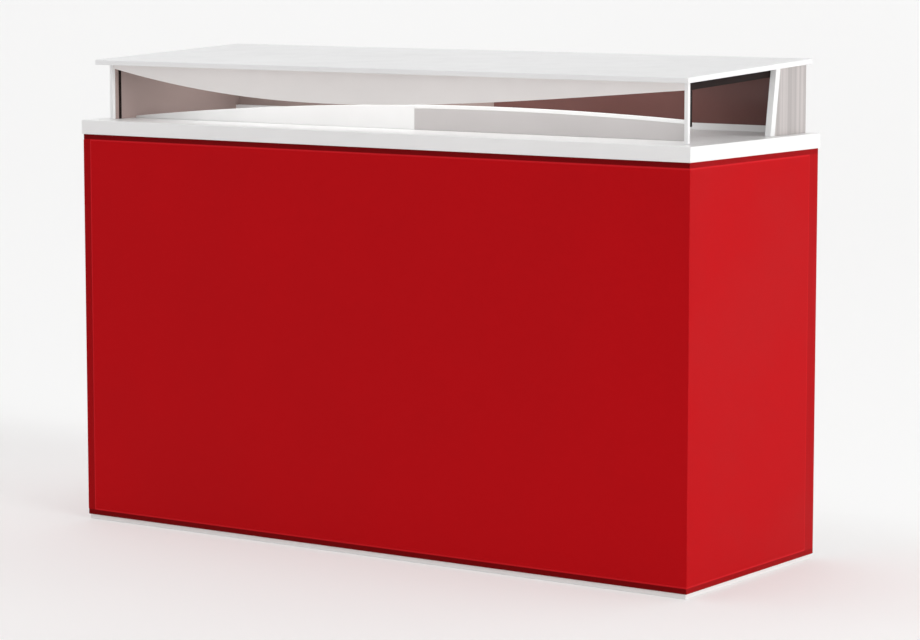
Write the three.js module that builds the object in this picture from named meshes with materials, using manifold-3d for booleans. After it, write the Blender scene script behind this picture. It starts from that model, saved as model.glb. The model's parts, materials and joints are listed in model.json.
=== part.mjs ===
// A reception desk: a red lacquered box with a white deck, and a gently sloping white slab over it.
// Millimetres, +Z up. The origin is on the floor at the middle of the footprint.
// The visitor's side faces -Y and the staff side +Y.
import * as THREE from "three";
import { mergeVertices } from "three/addons/utils/BufferGeometryUtils.js";
import Module from "manifold-3d";

// Red body
const LENGTH = 1800;
const DEPTH = 600;
const BODY_HEIGHT = 985;
const BOARD = 18; // thickness of every board in the body
const MITRE_GAP = 0.3; // glue line of the two front corners
const PLINTH_HEIGHT = 12;
const PLINTH_THICKNESS = 16;
const PLINTH_SETBACK = 4;

// Deck and raised slab
const DECK_THICKNESS = 36;
const DECK_OVERHANG = 3;
const SHELF_GAP = 140; // clear height between deck and slab at the slab's front edge
const SLAB_RISE = 24; // how much higher the slab is at its back edge
const SLAB_THICKNESS = 13;
const SLAB_END_INSET = 24; // from the deck's ends
const SLAB_FRONT_SETBACK = 28; // from the deck's front edge

// Supports between deck and slab
const POST_SIZE = 10;
const POST_END_INSET = 48; // from the deck's right end
const CLOSED_END_INSET = 38; // from the deck's left end, also for the left post
const POST_FRONT_SETBACK = 68;
const END_PANEL_BACK_INSET = 13; // from the deck's back edge, also for the right support and the tracks
const SUPPORT_THICKNESS = 12;
const SUPPORT_END_INSET = 33;
const SUPPORT_FOOT_LENGTH = 154; // along the deck
const SUPPORT_LEAN = 25; // how far its front edge leans back over its height
const EDGE_STRIP_WIDTH = 20;
const EDGE_STRIP_PROUD = 2; // on each face of the support
const EDGE_STRIP_GAP = 0.3;
const END_RAIL_HEIGHT = 20; // dark rail under the slab's right end

// Arched rail under the slab's front, between the posts: depths below the slab
const RAIL_THICKNESS = 6;
const RAIL_LEFT_DEPTH = 12;
const RAIL_LEFT_SHOULDER = 60;
const RAIL_PEAK_DEPTH = 81;
const RAIL_PEAK_X = -155;
const RAIL_RIGHT_DEPTH = 20;
const RAIL_RIGHT_SHOULDER = 48;

// Low upstand on the deck, in two lengths that meet near mid-desk under one arched top edge
const UPSTAND_THICKNESS = 8;
const UPSTAND_SETBACK = 158; // from the deck's front edge
const UPSTAND_JOINT_X = 30;
const UPSTAND_JOINT_HEIGHT = 60;
const UPSTAND_LEFT_SHOULDER = 50; // height that the arch aims at half way along each length
const UPSTAND_RIGHT_SHOULDER = 67;
const UPSTAND_LEFT_HEIGHT = 5; // at the outer ends
const UPSTAND_RIGHT_HEIGHT = 48;
const UPSTAND_RIGHT_LENGTH = 768;

// Sliding screens that close the gap on the staff side
const TRACK_HEIGHT = 15;
const TRACK_WALL = 3;
const TRACK_FLOOR = 5; // under the groove of the bottom track, over that of the top track
const SCREEN_THICKNESS = 6;
const SCREEN_PLAY = 0.5; // to each groove wall and to each end stop
const SCREEN_SEAT_GAP = 0.3;
const SCREEN_TOP_BITE = 6; // how far a screen reaches into the top track
const SCREEN_OVERLAP = 40;
const GRIP_LENGTH = 70;
const GRIP_WIDTH = 20;
const GRIP_DEPTH = 3;
const GRIP_EDGE_INSET = 30;

// Staff side: drawers, open bay and cupboard
const FRONT_SETBACK = 32; // outer face of doors and drawer fronts, from the sides' back edge
const FRONT_GAP = 3; // around every door and drawer front
const PEDESTAL_WIDTH = 440;
const CUPBOARD_WIDTH = 440;
const DRAWER_FRONT_HEIGHTS = [300, 200, 200]; // from the bottom up
const DRAWER_DEPTH = 470;
const DRAWER_WALL = 12;
const DRAWER_LIFT = 20; // box bottom over the front's lower edge
const DRAWER_TOP_DROP = 40; // box rim under the front's upper edge
const RUNNER_SPACE = 13; // between a drawer box and the bay's wall
const RUNNER_HEIGHT = 45;
const RUNNER_LENGTH = 450;
const RUNNER_WALL = 1.5;
const RUNNER_DEPTH = 9;
const RUNNER_PLAY = 0.4;
const RUNNER_FRONT_GAP = 5;
const BAY_SHELF_HEIGHT = 560;
const BAY_SHELF_DEPTH = 400;
const CUPBOARD_SHELF_HEIGHT = 500;
const CUPBOARD_SHELF_CLEAR = 10; // behind the closed door

// Bar handles and lift-off hinges
const HANDLE_LENGTH = 160;
const HANDLE_BAR = 10;
const HANDLE_STANDOFF = 28;
const HANDLE_DROP = 45; // centre line under a drawer front's upper edge
const HANDLE_EDGE_INSET = 40; // centre line from the door's free edge
const DOOR_HANDLE_HEIGHT = 700;
const HINGE_LENGTH = 60;
const HINGE_END_INSET = 110; // hinge centre from the door's ends
const HINGE_LEAF = 2;
const HINGE_LEAF_WIDTH = 26;
const KNUCKLE_RADIUS = 5;
const KNUCKLE_SINK = 1; // how deep a knuckle is welded into its leaf
const KNUCKLE_GAP = 0.3;
const HINGE_PIN_RADIUS = 2.1;
const HINGE_PIN_PLAY = 0.1;
const HINGE_PIN_LENGTH = 24;
const HINGE_LEAF_GAP = 2; // fixed leaf behind the door's face

// Levelling feet
const FOOT_INSET = 80; // from the body's sides, the front and the staff-side facade
const FOOT_RADIUS = 20;
const FOOT_PAD_HEIGHT = 8;
const FOOT_STEM_RADIUS = 4;
const FOOT_STEM_PLAY = 0.3;

// Number of flats that stand for a round face
const ROUND_SIDES = 20;

// Planes that the pieces share
const halfLength = LENGTH / 2;
const halfDepth = DEPTH / 2;
const innerX = halfLength - BOARD;
const innerFrontY = -halfDepth + BOARD;
const facadeY = halfDepth - FRONT_SETBACK;
const facadeInnerY = facadeY - BOARD;
const floorTopZ = PLINTH_HEIGHT + BOARD;
const bodyTopZ = PLINTH_HEIGHT + BODY_HEIGHT;
const deckTopZ = bodyTopZ + DECK_THICKNESS;
const deckEndX = halfLength + DECK_OVERHANG;
const deckEdgeY = halfDepth + DECK_OVERHANG;
const slabFrontY = -deckEdgeY + SLAB_FRONT_SETBACK;
const slabSlope = SLAB_RISE / (deckEdgeY - slabFrontY);
const pedestalX = -innerX + PEDESTAL_WIDTH;
const cupboardX = innerX - CUPBOARD_WIDTH;
const postOuterX = deckEndX - POST_END_INSET;
const postInnerX = postOuterX - POST_SIZE;
const closedOuterX = -deckEndX + CLOSED_END_INSET;
const closedInnerX = closedOuterX + POST_SIZE;
const postFrontY = -deckEdgeY + POST_FRONT_SETBACK;
const postBackY = postFrontY + POST_SIZE;
const gapBackY = deckEdgeY - END_PANEL_BACK_INSET;
const supportOuterX = deckEndX - SUPPORT_END_INSET;
const supportInnerX = supportOuterX - SUPPORT_THICKNESS;
const grooveWidth = SCREEN_THICKNESS + 2 * SCREEN_PLAY;
const trackWidth = 2 * grooveWidth + 3 * TRACK_WALL;
const trackFrontY = gapBackY - trackWidth;

// Height of the sloping slab's underside at a depth y.
function slabUnderZ(y) {
  return deckTopZ + SHELF_GAP + slabSlope * (y - slabFrontY);
}

function finish(color, roughness, metalness = 0) {
  return new THREE.MeshStandardMaterial({ color, roughness, metalness });
}

const MATERIALS = {
  lacquer: finish(0xa80f16, 0.28),
  white: finish(0xf2f1ef, 0.35),
  melamine: finish(0xe9e7e3, 0.5),
  greyLaminate: finish(0xc9c4c2, 0.45),
  taupe: finish(0x8a7b75, 0.5),
  brushed: finish(0xbeb4b2, 0.35, 0.8),
  tinted: finish(0x54393a, 0.15),
  steel: finish(0xb9babc, 0.3, 1),
  rubber: finish(0x1c1c1d, 0.8),
};

const wasm = await Module();
wasm.setup();

// A closed geometry as a solid that can be joined and cut.
function solidOf(geometry) {
  const bare = geometry.clone();
  bare.deleteAttribute("normal");
  bare.deleteAttribute("uv");
  const merged = mergeVertices(bare, 1e-4);
  return new wasm.Manifold(
    new wasm.Mesh({
      numProp: 3,
      vertProperties: new Float32Array(merged.attributes.position.array),
      triVerts: new Uint32Array(merged.index.array),
    }),
  );
}

function geometryOf(solid) {
  const made = solid.getMesh();
  const geometry = new THREE.BufferGeometry();
  geometry.setAttribute("position", new THREE.BufferAttribute(made.vertProperties, 3));
  geometry.setIndex(new THREE.BufferAttribute(made.triVerts, 1));
  geometry.computeVertexNormals();
  return geometry;
}

function mesh(name, geometry, material) {
  const made = new THREE.Mesh(geometry, material);
  made.name = name;
  return made;
}

// A box between two corners, as a geometry.
function boxGeometry([x0, y0, z0], [x1, y1, z1]) {
  const geometry = new THREE.BoxGeometry(x1 - x0, y1 - y0, z1 - z0);
  return geometry.translate((x0 + x1) / 2, (y0 + y1) / 2, (z0 + z1) / 2);
}

// A board between two corners, drawn about its own middle and placed there.
function board(name, [x0, y0, z0], [x1, y1, z1], material) {
  const made = mesh(name, new THREE.BoxGeometry(x1 - x0, y1 - y0, z1 - z0), material);
  made.position.set((x0 + x1) / 2, (y0 + y1) / 2, (z0 + z1) / 2);
  return made;
}

function outline(points) {
  return new THREE.Shape(points.map(([u, v]) => new THREE.Vector2(u, v)));
}

function extruded(shape, depth) {
  return new THREE.ExtrudeGeometry(shape, { depth, bevelEnabled: false, curveSegments: ROUND_SIDES });
}

// A plan outline (x, y) raised from z0 to z1.
function raised(shape, z0, z1) {
  return extruded(shape, z1 - z0).translate(0, 0, z0);
}

// An elevation outline (x, z) carried from y0 to y1.
function carriedAlongY(shape, y0, y1) {
  return extruded(shape, y1 - y0)
    .rotateX(Math.PI / 2)
    .translate(0, y1, 0);
}

// A section outline (y, z) carried from x0 to x1.
function carriedAlongX(shape, x0, x1) {
  const turn = new THREE.Matrix4().makeBasis(
    new THREE.Vector3(0, 1, 0),
    new THREE.Vector3(0, 0, 1),
    new THREE.Vector3(1, 0, 0),
  );
  return extruded(shape, x1 - x0)
    .applyMatrix4(turn)
    .translate(x0, 0, 0);
}

// A profile of (radius, z) points turned about +Z.
function turned(points) {
  const profile = points.map(([r, z]) => new THREE.Vector2(r, z));
  return new THREE.LatheGeometry(profile, ROUND_SIDES).rotateX(Math.PI / 2);
}

// Red panels with mitred front corners, on a low white plinth.
function redBody() {
  const group = new THREE.Group();
  const miter = MITRE_GAP * Math.SQRT2;
  const frontPlan = outline([
    [-halfLength, -halfDepth],
    [halfLength, -halfDepth],
    [innerX, innerFrontY],
    [-innerX, innerFrontY],
  ]);
  group.add(mesh("front_panel", raised(frontPlan, PLINTH_HEIGHT, bodyTopZ), MATERIALS.lacquer));
  for (const [side, sign] of [["left", -1], ["right", 1]]) {
    const sidePlan = outline([
      [sign * halfLength, -halfDepth + miter],
      [sign * halfLength, halfDepth],
      [sign * innerX, halfDepth],
      [sign * innerX, innerFrontY + miter],
    ]);
    const panel = raised(sidePlan, PLINTH_HEIGHT, bodyTopZ);
    group.add(mesh(`${side}_side_panel`, panel, MATERIALS.lacquer));
  }
  return group;
}

function plinth() {
  const group = new THREE.Group();
  const outerX = halfLength - PLINTH_SETBACK;
  const stripX = outerX - PLINTH_THICKNESS;
  const frontY = -halfDepth + PLINTH_SETBACK;
  const behindFrontY = frontY + PLINTH_THICKNESS;
  const backY = halfDepth - PLINTH_SETBACK;
  const strips = [
    ["plinth_front", [-outerX, frontY], [outerX, behindFrontY]],
    ["plinth_left", [-outerX, behindFrontY], [-stripX, backY]],
    ["plinth_right", [stripX, behindFrontY], [outerX, backY]],
    ["plinth_back", [-stripX, facadeY - PLINTH_THICKNESS], [stripX, facadeY]],
  ];
  for (const [name, low, high] of strips) {
    group.add(board(name, [...low, 0], [...high, PLINTH_HEIGHT], MATERIALS.white));
  }
  return group;
}

const footPlaces = [
  ["front_left", -halfLength + FOOT_INSET, -halfDepth + FOOT_INSET],
  ["front_right", halfLength - FOOT_INSET, -halfDepth + FOOT_INSET],
  ["back_left", -halfLength + FOOT_INSET, facadeY - FOOT_INSET],
  ["back_right", halfLength - FOOT_INSET, facadeY - FOOT_INSET],
];

// White boards inside the red panels, with bores for the feet's threaded stems.
function carcass() {
  const group = new THREE.Group();
  const boardPlan = outline([
    [-innerX, innerFrontY],
    [innerX, innerFrontY],
    [innerX, facadeY],
    [-innerX, facadeY],
  ]);
  for (const [, x, y] of footPlaces) {
    const bore = new THREE.Path();
    bore.absarc(x, y, FOOT_STEM_RADIUS + FOOT_STEM_PLAY, 0, 2 * Math.PI, true);
    boardPlan.holes.push(bore);
  }
  group.add(mesh("bottom_board", raised(boardPlan, PLINTH_HEIGHT, floorTopZ), MATERIALS.melamine));
  const partitions = [
    ["left_partition", pedestalX],
    ["right_partition", cupboardX - BOARD],
  ];
  for (const [name, x] of partitions) {
    const low = [x, innerFrontY, floorTopZ];
    group.add(board(name, low, [x + BOARD, facadeY, bodyTopZ], MATERIALS.melamine));
  }
  const bayLow = [pedestalX + BOARD, innerFrontY, BAY_SHELF_HEIGHT];
  const bayHigh = [cupboardX - BOARD, innerFrontY + BAY_SHELF_DEPTH, BAY_SHELF_HEIGHT + BOARD];
  group.add(board("bay_shelf", bayLow, bayHigh, MATERIALS.melamine));
  const shelfBackY = facadeInnerY - CUPBOARD_SHELF_CLEAR;
  const shelfLow = [cupboardX, innerFrontY, CUPBOARD_SHELF_HEIGHT];
  const shelfHigh = [innerX, shelfBackY, CUPBOARD_SHELF_HEIGHT + BOARD];
  group.add(board("cupboard_shelf", shelfLow, shelfHigh, MATERIALS.melamine));
  return group;
}

// Screw feet: a rubber-faced pad on a threaded stem, wound right in.
function levellingFeet() {
  const group = new THREE.Group();
  const profile = [
    [0, 0],
    [FOOT_RADIUS, 0],
    [FOOT_RADIUS, FOOT_PAD_HEIGHT],
    [FOOT_STEM_RADIUS, FOOT_PAD_HEIGHT],
    [FOOT_STEM_RADIUS, floorTopZ],
    [0, floorTopZ],
  ];
  for (const [place, x, y] of footPlaces) {
    const foot = mesh(`foot_${place}`, turned(profile), MATERIALS.rubber);
    foot.position.set(x, y, 0);
    group.add(foot);
  }
  return group;
}

function deckAndSlab() {
  const group = new THREE.Group();
  const deckLow = [-deckEndX, -deckEdgeY, bodyTopZ];
  group.add(board("deck", deckLow, [deckEndX, deckEdgeY, deckTopZ], MATERIALS.white));
  const slabX = deckEndX - SLAB_END_INSET;
  const frontZ = slabUnderZ(slabFrontY);
  const backZ = slabUnderZ(deckEdgeY);
  const slab = outline([
    [slabFrontY, frontZ],
    [deckEdgeY, backZ],
    [deckEdgeY, backZ + SLAB_THICKNESS],
    [slabFrontY, frontZ + SLAB_THICKNESS],
  ]);
  group.add(mesh("slab", carriedAlongX(slab, -slabX, slabX), MATERIALS.white));
  return group;
}

// A side outline (y, z) from the deck up to the slab, whose front and back edges may lean back.
function uprightOutline(frontY, backY, frontLean = 0, backLean = 0) {
  return outline([
    [frontY, deckTopZ],
    [backY, deckTopZ],
    [backY + backLean, slabUnderZ(backY + backLean)],
    [frontY + frontLean, slabUnderZ(frontY + frontLean)],
  ]);
}

// Front posts, closed left end and leaning right support, all standing on the deck, and the right end's rail.
function slabSupports() {
  const group = new THREE.Group();
  const post = uprightOutline(postFrontY, postBackY);
  for (const [name, x] of [["front_post_left", closedOuterX], ["front_post_right", postInnerX]]) {
    group.add(mesh(name, carriedAlongX(post, x, x + POST_SIZE), MATERIALS.white));
  }
  const panel = carriedAlongX(uprightOutline(postBackY, gapBackY), closedOuterX, closedInnerX);
  group.add(mesh("left_end_panel", panel, MATERIALS.taupe));

  const footY = gapBackY - SUPPORT_FOOT_LENGTH;
  const support = uprightOutline(footY, gapBackY, SUPPORT_LEAN);
  const supportPlate = carriedAlongX(support, supportInnerX, supportOuterX);
  group.add(mesh("right_support", supportPlate, MATERIALS.brushed));
  const stripY = footY - EDGE_STRIP_GAP;
  const strip = uprightOutline(stripY - EDGE_STRIP_WIDTH, stripY, SUPPORT_LEAN, SUPPORT_LEAN);
  const stripBar = carriedAlongX(strip, supportInnerX - EDGE_STRIP_PROUD, supportOuterX + EDGE_STRIP_PROUD);
  group.add(mesh("right_support_edge", stripBar, MATERIALS.white));

  const endRail = outline([
    [postBackY, slabUnderZ(postBackY) - END_RAIL_HEIGHT],
    [trackFrontY, slabUnderZ(trackFrontY) - END_RAIL_HEIGHT],
    [trackFrontY, slabUnderZ(trackFrontY)],
    [postBackY, slabUnderZ(postBackY)],
  ]);
  group.add(mesh("end_rail", carriedAlongX(endRail, postInnerX, postOuterX), MATERIALS.rubber));
  return group;
}

// A stiffening rail with a swept lower edge: two cubic arcs that meet level at the deepest point.
function archedRail() {
  const leftThird = (RAIL_PEAK_X - closedInnerX) / 3;
  const rightThird = (postInnerX - RAIL_PEAK_X) / 3;
  const middleY = (postFrontY + postBackY) / 2;
  const frontY = middleY - RAIL_THICKNESS / 2;
  const topZ = slabUnderZ(frontY);
  const lowest = topZ - RAIL_PEAK_DEPTH;
  const edge = new THREE.Shape();
  edge.moveTo(closedInnerX, topZ);
  edge.lineTo(closedInnerX, topZ - RAIL_LEFT_DEPTH);
  edge.bezierCurveTo(
    closedInnerX + leftThird, topZ - RAIL_LEFT_SHOULDER,
    RAIL_PEAK_X - leftThird, lowest,
    RAIL_PEAK_X, lowest,
  );
  edge.bezierCurveTo(
    RAIL_PEAK_X + rightThird, lowest,
    postInnerX - rightThird, topZ - RAIL_RIGHT_SHOULDER,
    postInnerX, topZ - RAIL_RIGHT_DEPTH,
  );
  edge.lineTo(postInnerX, topZ);
  const plate = carriedAlongY(edge, frontY, frontY + RAIL_THICKNESS);
  return mesh("arched_rail", plate, MATERIALS.greyLaminate);
}

// One length of the low upstand across the deck, from the joint to its outer end.
function upstand(name, endX, shoulder, endHeight, material) {
  const top = new THREE.Shape();
  top.moveTo(UPSTAND_JOINT_X, deckTopZ);
  top.lineTo(UPSTAND_JOINT_X, deckTopZ + UPSTAND_JOINT_HEIGHT);
  top.quadraticCurveTo(
    (UPSTAND_JOINT_X + endX) / 2, deckTopZ + shoulder,
    endX, deckTopZ + endHeight,
  );
  top.lineTo(endX, deckTopZ);
  const frontY = -deckEdgeY + UPSTAND_SETBACK;
  return mesh(name, carriedAlongY(top, frontY, frontY + UPSTAND_THICKNESS), material);
}

function upstands() {
  const group = new THREE.Group();
  const rightEnd = UPSTAND_JOINT_X + UPSTAND_RIGHT_LENGTH;
  group.add(upstand("upstand_left", closedInnerX, UPSTAND_LEFT_SHOULDER, UPSTAND_LEFT_HEIGHT, MATERIALS.white));
  group.add(
    upstand("upstand_right", rightEnd, UPSTAND_RIGHT_SHOULDER, UPSTAND_RIGHT_HEIGHT, MATERIALS.greyLaminate),
  );
  return group;
}

// A track's section: two grooves between three walls, open away from its seat, which may slope.
function trackSection(seatFrontZ, seatBackZ, upwards) {
  const z = (height) => seatFrontZ + upwards * height;
  const points = [[trackFrontY, seatFrontZ], [trackFrontY, z(TRACK_HEIGHT)]];
  for (const groove of [0, 1]) {
    const near = trackFrontY + TRACK_WALL + groove * (grooveWidth + TRACK_WALL);
    const far = near + grooveWidth;
    points.push([near, z(TRACK_HEIGHT)], [near, z(TRACK_FLOOR)]);
    points.push([far, z(TRACK_FLOOR)], [far, z(TRACK_HEIGHT)]);
  }
  points.push([gapBackY, z(TRACK_HEIGHT)], [gapBackY, seatBackZ]);
  return outline(points);
}

// Two tinted screens, one groove each, with a shallow finger grip ground into the staff's face.
function slidingScreens() {
  const group = new THREE.Group();
  const left = closedInnerX;
  const right = supportInnerX;
  const bottomTrack = carriedAlongX(trackSection(deckTopZ, deckTopZ, 1), left, right);
  group.add(mesh("screen_track_bottom", bottomTrack, MATERIALS.white));
  const topSeatZ = slabUnderZ(trackFrontY);
  const topTrack = carriedAlongX(trackSection(topSeatZ, slabUnderZ(gapBackY), -1), left, right);
  group.add(mesh("screen_track_top", topTrack, MATERIALS.rubber));

  const lowZ = deckTopZ + TRACK_FLOOR + SCREEN_SEAT_GAP;
  const highZ = topSeatZ - TRACK_HEIGHT + SCREEN_TOP_BITE;
  const length = (right - left + SCREEN_OVERLAP) / 2 - SCREEN_PLAY;
  const firstY = trackFrontY + TRACK_WALL + SCREEN_PLAY;
  const gripRadius = GRIP_WIDTH / 2;
  const straight = GRIP_LENGTH / 2 - gripRadius;
  const gripZ = (lowZ + highZ) / 2;
  const screens = [
    ["screen_left", left + SCREEN_PLAY, firstY + grooveWidth + TRACK_WALL, 1],
    ["screen_right", right - SCREEN_PLAY - length, firstY, -1],
  ];
  for (const [name, x, y, inward] of screens) {
    const outerEdge = inward > 0 ? x : x + length;
    const gripX = outerEdge + inward * (GRIP_EDGE_INSET + gripRadius);
    const grip = new THREE.Shape();
    grip.absarc(gripX, gripZ + straight, gripRadius, 0, Math.PI, false);
    grip.absarc(gripX, gripZ - straight, gripRadius, Math.PI, 2 * Math.PI, false);
    const backY = y + SCREEN_THICKNESS;
    const cut = solidOf(carriedAlongY(grip, backY - GRIP_DEPTH, backY + GRIP_DEPTH));
    const pane = solidOf(boxGeometry([x, y, lowZ], [x + length, backY, highZ]));
    group.add(mesh(name, geometryOf(pane.subtract(cut)), MATERIALS.tinted));
  }
  return group;
}

// A flat bar bent to a U, drawn with its legs on v = 0 and centred on u = 0.
function handleOutline() {
  const half = HANDLE_LENGTH / 2;
  const inner = half - HANDLE_BAR;
  const under = HANDLE_STANDOFF - HANDLE_BAR;
  return outline([
    [-half, 0],
    [-half, HANDLE_STANDOFF],
    [half, HANDLE_STANDOFF],
    [half, 0],
    [inner, 0],
    [inner, under],
    [-inner, under],
    [-inner, 0],
  ]);
}

function handle(name) {
  return mesh(name, extruded(handleOutline(), HANDLE_BAR).translate(0, 0, -HANDLE_BAR / 2), MATERIALS.steel);
}

// A runner pair on one wall of the pedestal: a C channel on the wall and a bar on the drawer.
function runnerPair(label, wallX, inward, z) {
  const half = RUNNER_HEIGHT / 2;
  const web = RUNNER_WALL;
  const channel = [
    [0, -half],
    [RUNNER_DEPTH, -half],
    [RUNNER_DEPTH, -half + web],
    [web, -half + web],
    [web, half - web],
    [RUNNER_DEPTH, half - web],
    [RUNNER_DEPTH, half],
    [0, half],
  ];
  const section = outline(channel.map(([u, v]) => [wallX + inward * u, z + v]));
  const endY = facadeInnerY - RUNNER_FRONT_GAP;
  const startY = endY - RUNNER_LENGTH;
  const fixed = mesh(`runner_channel_${label}`, carriedAlongY(section, startY, endY), MATERIALS.steel);
  const barHalf = half - web - RUNNER_PLAY;
  const xs = [wallX + inward * (web + RUNNER_PLAY), wallX + inward * RUNNER_SPACE].sort((a, b) => a - b);
  const low = [xs[0], startY, z - barHalf];
  const bar = board(`runner_bar_${label}`, low, [xs[1], endY, z + barHalf], MATERIALS.steel);
  return [fixed, bar];
}

// One drawer: front, open box, handle and its two runner pairs.
function drawer(number, frontZ, frontHeight) {
  const group = new THREE.Group();
  const frontTopZ = frontZ + frontHeight;
  const low = [-innerX + FRONT_GAP, facadeInnerY, frontZ];
  const high = [pedestalX - FRONT_GAP, facadeY, frontTopZ];
  group.add(board(`drawer_front_${number}`, low, high, MATERIALS.melamine));

  const boxLow = [-innerX + RUNNER_SPACE, facadeInnerY - DRAWER_DEPTH, frontZ + DRAWER_LIFT];
  const boxHigh = [pedestalX - RUNNER_SPACE, facadeInnerY, frontTopZ - DRAWER_TOP_DROP];
  const hollowLow = boxLow.map((v) => v + DRAWER_WALL);
  const hollowHigh = [boxHigh[0] - DRAWER_WALL, boxHigh[1] - DRAWER_WALL, frontTopZ];
  const tub = solidOf(boxGeometry(boxLow, boxHigh)).subtract(solidOf(boxGeometry(hollowLow, hollowHigh)));
  group.add(mesh(`drawer_box_${number}`, geometryOf(tub), MATERIALS.greyLaminate));

  const pull = handle(`drawer_handle_${number}`);
  pull.position.set((low[0] + high[0]) / 2, facadeY, frontTopZ - HANDLE_DROP);
  group.add(pull);

  const runnerZ = (boxLow[2] + boxHigh[2]) / 2;
  group.add(...runnerPair(`outer_${number}`, -innerX, 1, runnerZ));
  group.add(...runnerPair(`inner_${number}`, pedestalX, -1, runnerZ));
  return group;
}

// A stack of drawers with a board over it, which leaves an open niche under the deck.
function pedestal() {
  const group = new THREE.Group();
  let z = floorTopZ + FRONT_GAP;
  DRAWER_FRONT_HEIGHTS.forEach((height, index) => {
    group.add(drawer(index + 1, z, height));
    z += height + FRONT_GAP;
  });
  const low = [-innerX, innerFrontY, z];
  group.add(board("niche_board", low, [pedestalX, facadeY, z + BOARD], MATERIALS.melamine));
  return group;
}

const hingeX = innerX - HINGE_LEAF - KNUCKLE_RADIUS + KNUCKLE_SINK;
const hingeY = facadeY + HINGE_LEAF + KNUCKLE_RADIUS - KNUCKLE_SINK;

// A lift-off hinge: the wall leaf carries a pin that drops into the door leaf's knuckle.
function hinge(label, z) {
  const half = HINGE_LENGTH / 2;
  const pinEnd = -HINGE_PIN_LENGTH;
  const fixedKnuckle = turned([
    [0, pinEnd],
    [HINGE_PIN_RADIUS, pinEnd],
    [HINGE_PIN_RADIUS, KNUCKLE_GAP],
    [KNUCKLE_RADIUS, KNUCKLE_GAP],
    [KNUCKLE_RADIUS, half],
    [0, half],
  ]).translate(hingeX, hingeY, z);
  const wallLeafY = facadeY + HINGE_LEAF_GAP;
  const wallLeaf = boxGeometry(
    [innerX - HINGE_LEAF, wallLeafY, z + KNUCKLE_GAP],
    [innerX, wallLeafY + HINGE_LEAF_WIDTH, z + half],
  );
  const fixed = solidOf(fixedKnuckle).add(solidOf(wallLeaf));

  const boreRadius = HINGE_PIN_RADIUS + HINGE_PIN_PLAY;
  const doorKnuckle = turned([
    [boreRadius, -half],
    [KNUCKLE_RADIUS, -half],
    [KNUCKLE_RADIUS, 0],
    [boreRadius, 0],
    [boreRadius, -half],
  ]).translate(hingeX, hingeY, z);
  const doorLeaf = boxGeometry(
    [hingeX - HINGE_LEAF_WIDTH, facadeY, z - half],
    [hingeX, facadeY + HINGE_LEAF, z],
  );
  const moving = solidOf(doorKnuckle).add(solidOf(doorLeaf));
  return [
    mesh(`hinge_wall_leaf_${label}`, geometryOf(fixed), MATERIALS.steel),
    mesh(`hinge_door_leaf_${label}`, geometryOf(moving), MATERIALS.steel),
  ];
}

function cupboard() {
  const group = new THREE.Group();
  const low = [cupboardX + FRONT_GAP, facadeInnerY, floorTopZ + FRONT_GAP];
  const high = [innerX - FRONT_GAP, facadeY, bodyTopZ - FRONT_GAP];
  group.add(board("cupboard_door", low, high, MATERIALS.melamine));
  const pull = handle("cupboard_handle");
  pull.rotation.y = Math.PI / 2;
  pull.position.set(low[0] + HANDLE_EDGE_INSET, facadeY, DOOR_HANDLE_HEIGHT);
  group.add(pull);
  group.add(...hinge("lower", low[2] + HINGE_END_INSET));
  group.add(...hinge("upper", high[2] - HINGE_END_INSET));
  return group;
}

const desk = new THREE.Group();
desk.name = "reception_desk";
desk.add(redBody(), plinth(), carcass(), levellingFeet(), deckAndSlab(), slabSupports());
desk.add(archedRail(), upstands(), slidingScreens(), pedestal(), cupboard());

export default desk;
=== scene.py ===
"""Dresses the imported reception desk: lacquered panels, white tops, tinted screens and staff-side fittings."""

import json
import logging
import math
from collections.abc import Callable, Sequence
from dataclasses import dataclass, field
from enum import Enum
from functools import cache

import bpy
import numpy as np
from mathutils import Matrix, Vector

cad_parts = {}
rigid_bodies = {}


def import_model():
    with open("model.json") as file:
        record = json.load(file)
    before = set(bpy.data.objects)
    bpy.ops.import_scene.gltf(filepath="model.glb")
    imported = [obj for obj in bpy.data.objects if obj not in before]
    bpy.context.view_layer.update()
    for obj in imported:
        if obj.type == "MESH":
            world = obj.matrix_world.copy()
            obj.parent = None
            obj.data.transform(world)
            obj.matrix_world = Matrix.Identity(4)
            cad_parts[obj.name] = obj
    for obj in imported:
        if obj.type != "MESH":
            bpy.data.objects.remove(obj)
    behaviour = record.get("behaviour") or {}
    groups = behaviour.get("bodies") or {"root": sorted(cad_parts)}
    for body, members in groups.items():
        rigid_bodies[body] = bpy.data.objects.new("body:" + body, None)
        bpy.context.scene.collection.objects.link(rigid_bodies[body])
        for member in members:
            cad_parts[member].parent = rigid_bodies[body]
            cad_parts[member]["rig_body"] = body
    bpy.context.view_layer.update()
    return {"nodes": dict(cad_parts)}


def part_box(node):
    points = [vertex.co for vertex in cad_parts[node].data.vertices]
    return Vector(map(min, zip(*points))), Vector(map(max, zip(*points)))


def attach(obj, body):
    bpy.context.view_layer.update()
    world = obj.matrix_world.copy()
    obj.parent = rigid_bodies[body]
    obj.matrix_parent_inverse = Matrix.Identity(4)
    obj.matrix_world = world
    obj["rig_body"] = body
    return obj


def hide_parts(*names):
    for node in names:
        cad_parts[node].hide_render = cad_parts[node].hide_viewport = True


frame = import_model()

LOG = logging.getLogger("reception_desk")
MM = 0.001
HAIR = 1e-6  # metres, a length too small to count
LINE_DECIMALS = 7  # grid lines that agree to so many decimals of a metre are one line
WELD_DECIMALS = 5  # points that agree to so many decimals of a metre are one point
WELD_SHIFT = 1.7e-6  # keeps round sizes off the limits of rounding
NOISE_SPAN = (0.3, 0.7)  # most of a noise's values lie between these
BLACK = (0.0, 0.0, 0.0)
FACE_WEIGHT = 100  # large faces alone set the shading at their edges
DRAWERS = (1, 2, 3)
HINGES = ("lower", "upper")

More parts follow.
